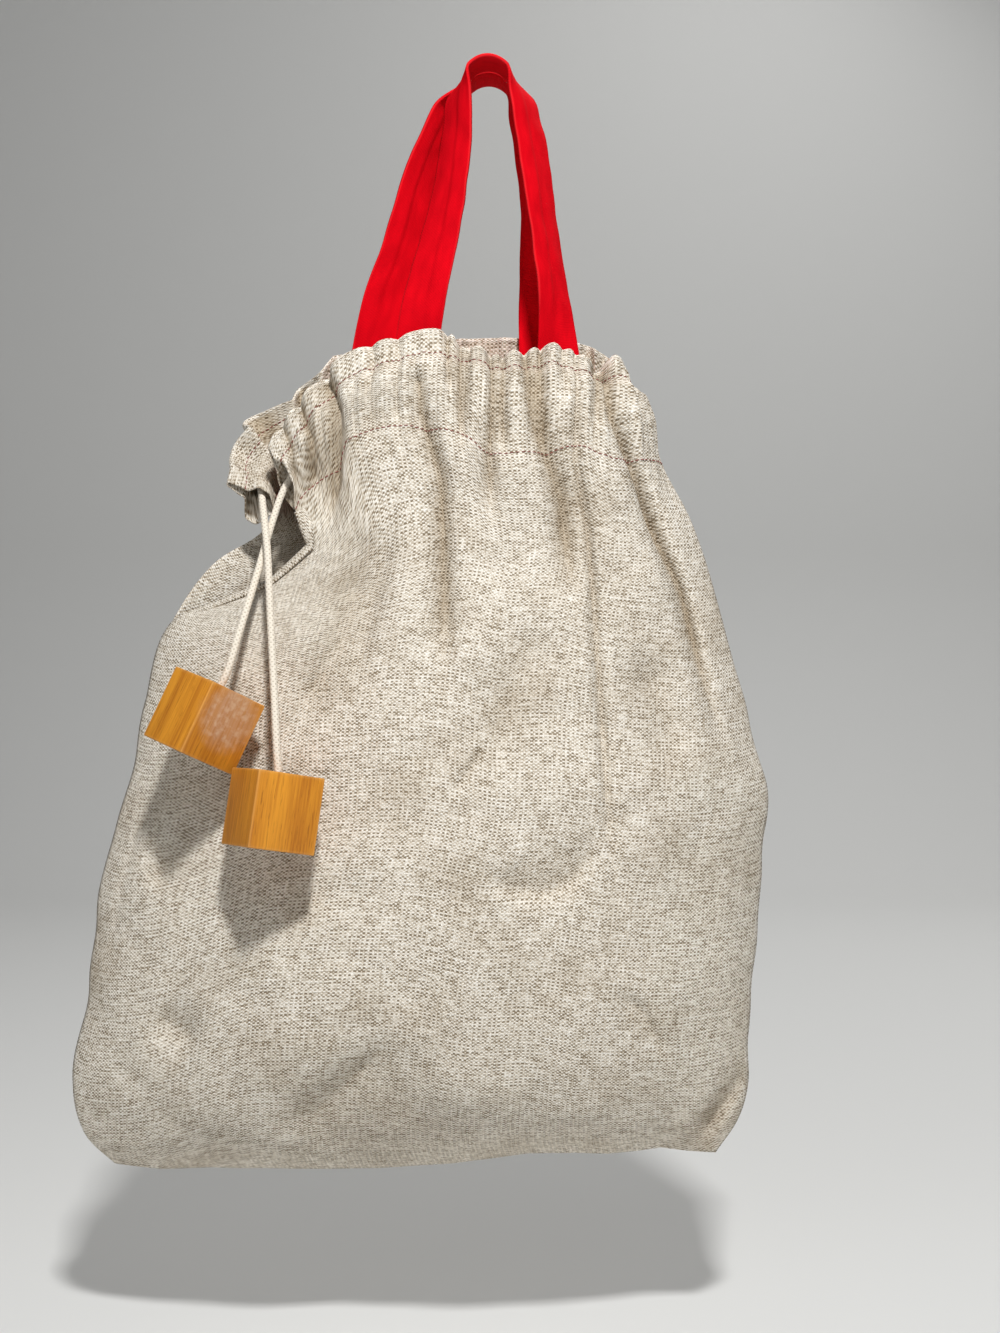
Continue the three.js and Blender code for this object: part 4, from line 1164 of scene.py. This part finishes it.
def stained_wood(place, turn, seed, wear):
    """Honey-stained hardwood under thin satin varnish: fine upright grain with dark pores, rubbed paler
    along the edges, and on a worn block a greyish patch where the stain is gone."""
    material, tree, shader = new_material("stained_wood", roughness=0.5, specular=0.3)
    where = add_node(tree, "TexCoord", out="Object")
    own = add_node(tree, "Mapping", {0: where, 1: place, 2: turn}, vector_type="TEXTURE")
    moved = add_node(tree, "VectorMath", {0: own, 1: (seed, seed, seed)}, operation="ADD")
    layers = []
    for stretch, detail in WOOD_LAYERS:
        laid = add_node(tree, "VectorMath", {0: moved, 1: stretch}, operation="MULTIPLY")
        layers.append(add_node(tree, "TexNoise", {"Vector": laid, "Scale": 1.0, "Detail": detail}))
    fibre, ring, pore = layers
    mixed = add_node(tree, "Math", {0: ring, 1: 1.1, 2: fibre}, operation="MULTIPLY_ADD")
    light = add_node(tree, "MapRange", {"Value": mixed, "From Min": 0.75, "From Max": 1.3})
    pores = add_node(tree, "MapRange", {"Value": pore, "From Min": 0.60, "From Max": 0.72, "To Max": 0.55})
    size = add_node(tree, "VectorMath", {0: own}, operation="ABSOLUTE")
    corner = (BLOCK_SIDE / 2, BLOCK_SIDE / 2, BLOCK_HEIGHT / 2)
    inset = add_node(tree, "VectorMath", {0: size, 1: corner}, operation="SUBTRACT")
    depths = add_node(tree, "SeparateXYZ", {0: inset}, out=None)
    near = []
    for axis in ("X", "Y", "Z"):
        scaled = add_node(tree, "Math", {0: depths[axis], 1: 1 / RUB_REACH}, operation="MULTIPLY")
        near.append(add_node(tree, "Math", {0: scaled}, operation="EXPONENT"))
    edges = near[0]
    for other_near in near[1:]:
        edges = add_node(tree, "Math", {0: edges, 1: other_near}, operation="ADD")
    rub = add_node(tree, "MapRange", {"Value": edges, "From Min": 1.15, "From Max": 1.9, "To Max": 0.3})
    away = add_node(tree, "VectorMath", {0: own, 1: PATCH_MIDDLE}, out="Value", operation="DISTANCE")
    outer, inner = PATCH_REACH
    patch = add_node(tree, "MapRange", {"Value": away, "From Min": outer, "From Max": inner, "To Max": wear})
    spots = add_node(tree, "MapRange", {"Value": fibre, "From Min": 0.3, "From Max": 0.65, "To Min": 0.4})
    blotch = add_node(tree, "TexNoise", {"Vector": moved, "Scale": 1 / BLOTCH_SIZE, "Detail": 3.0})
    scuffs = add_node(tree, "MapRange", {"Value": blotch, "From Min": 0.48, "From Max": 0.68, "To Max": 0.5})
    worn, bare = (
        add_node(tree, "Math", {0: patch, 1: marks}, operation="MULTIPLY") for marks in (spots, scuffs)
    )
    colour = linear(WOOD_DARK)
    for amount, tint in (
        (light, WOOD_LIGHT), (pores, WOOD_PORE), (rub, WOOD_RUBBED), (worn, WOOD_WORN), (bare, WOOD_BARE),
    ):
        colour = add_node(tree, "Mix", {0: amount, 6: colour, 7: linear(tint)}, out=2, data_type="RGBA")
    bump = add_node(tree, "Bump", {"Height": fibre, "Strength": 0.25, "Distance": 0.0003})
    set_inputs(tree, shader, {"Base Color": colour, "Normal": bump})
    return material


blocks = []
for name, (place, turn, lean, back, wear, node_name) in BLOCKS.items():
    bpy.ops.object.select_all(action="DESELECT")
    bpy.ops.mesh.primitive_cube_add(size=1)
    piece = bpy.context.object
    piece.name = piece.data.name = name
    piece.data.transform(Matrix.Diagonal((BLOCK_SIDE, BLOCK_SIDE, BLOCK_HEIGHT, 1)))
    apply_modifier(piece, "BEVEL", width=BLOCK_EDGE, segments=BLOCK_EDGE_STEPS)
    bpy.ops.object.select_all(action="DESELECT")
    bpy.ops.mesh.primitive_cylinder_add(
        radius=BORE_DIAMETER / 2, depth=2 * BORE_DEPTH, location=(0, 0, BLOCK_HEIGHT / 2)
    )
    drill = bpy.context.object
    apply_modifier(piece, "BOOLEAN", object=drill, operation="DIFFERENCE")
    bpy.data.objects.remove(drill)
    leaning = Matrix.Rotation(math.radians(lean), 4, "Y") @ Matrix.Rotation(math.radians(-back), 4, "X")
    attitude = leaning @ Matrix.Rotation(math.radians(turn), 4, "Z")
    piece.data.transform(Matrix.Translation(place) @ attitude)
    set_active(piece)
    bpy.ops.object.shade_smooth_by_angle(angle=SMOOTH_ANGLE)
    piece.data.materials.append(stained_wood(place, attitude.to_euler(), len(blocks) * GRAIN_SHIFT, wear))
    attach(piece, "root")
    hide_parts(node_name)
    blocks.append(piece)


# Stage
# A pale floor that sweeps up into a backdrop well behind the bag, a soft light above the front, a weak one
# from the left, and one from behind for the bag's back.
FLOOR_HEIGHT = -0.70
FLOOR_FRONT = -4.0
FLOOR_BACK = 1.9
FLOOR_SIDES = (-5.0, 5.0)
SWEEP_RADIUS = 0.6
SWEEP_STEPS = 16
BACKDROP_TOP = 3.0
STAGE_GREY = "#d6d6d4"
AIR_LIGHT = "#f2f2f4"
AIR_STRENGTH = 0.07
LIGHT_TARGET = Vector((-0.03, 0, -0.33))
LIGHTS = {
    "key": ((0.15, -1.25, 0.98), 0.16, 34.5),
    "fill": ((-1.1, -1.4, 0.1), 1.2, 3.5),
    "back": ((0.9, 1.6, 1.8), 1.2, 40),
}

profile = [(FLOOR_FRONT, FLOOR_HEIGHT), (FLOOR_BACK, FLOOR_HEIGHT)]
for angle in np.linspace(0, math.pi / 2, SWEEP_STEPS):
    profile.append((
        FLOOR_BACK + SWEEP_RADIUS * math.sin(angle), FLOOR_HEIGHT + SWEEP_RADIUS * (1 - math.cos(angle))
    ))
profile.append((FLOOR_BACK + SWEEP_RADIUS, BACKDROP_TOP))
floor = grid_piece("floor", np.array([[(x, y, z) for x in FLOOR_SIDES] for y, z in profile]))
backdrop, backdrop_tree, paint = new_material("painted_backdrop", roughness=0.9, specular=0.2)
set_inputs(backdrop_tree, paint, {"Base Color": linear(STAGE_GREY)})
floor.data.materials.append(backdrop)
for name, (place, size, energy) in LIGHTS.items():
    bpy.ops.object.light_add(type="AREA", location=place)
    lamp = bpy.context.object
    lamp.name = name
    lamp.data.energy = energy
    lamp.data.size = size
    lamp.rotation_euler = (LIGHT_TARGET - lamp.location).to_track_quat("-Z", "Y").to_euler()
world = bpy.data.worlds.new("studio")
bpy.context.scene.world = world
world.use_nodes = True
air = world.node_tree.nodes["Background"]
set_inputs(world.node_tree, air, {"Color": linear(AIR_LIGHT), "Strength": AIR_STRENGTH})
bpy.context.scene.view_settings.view_transform = "Standard"
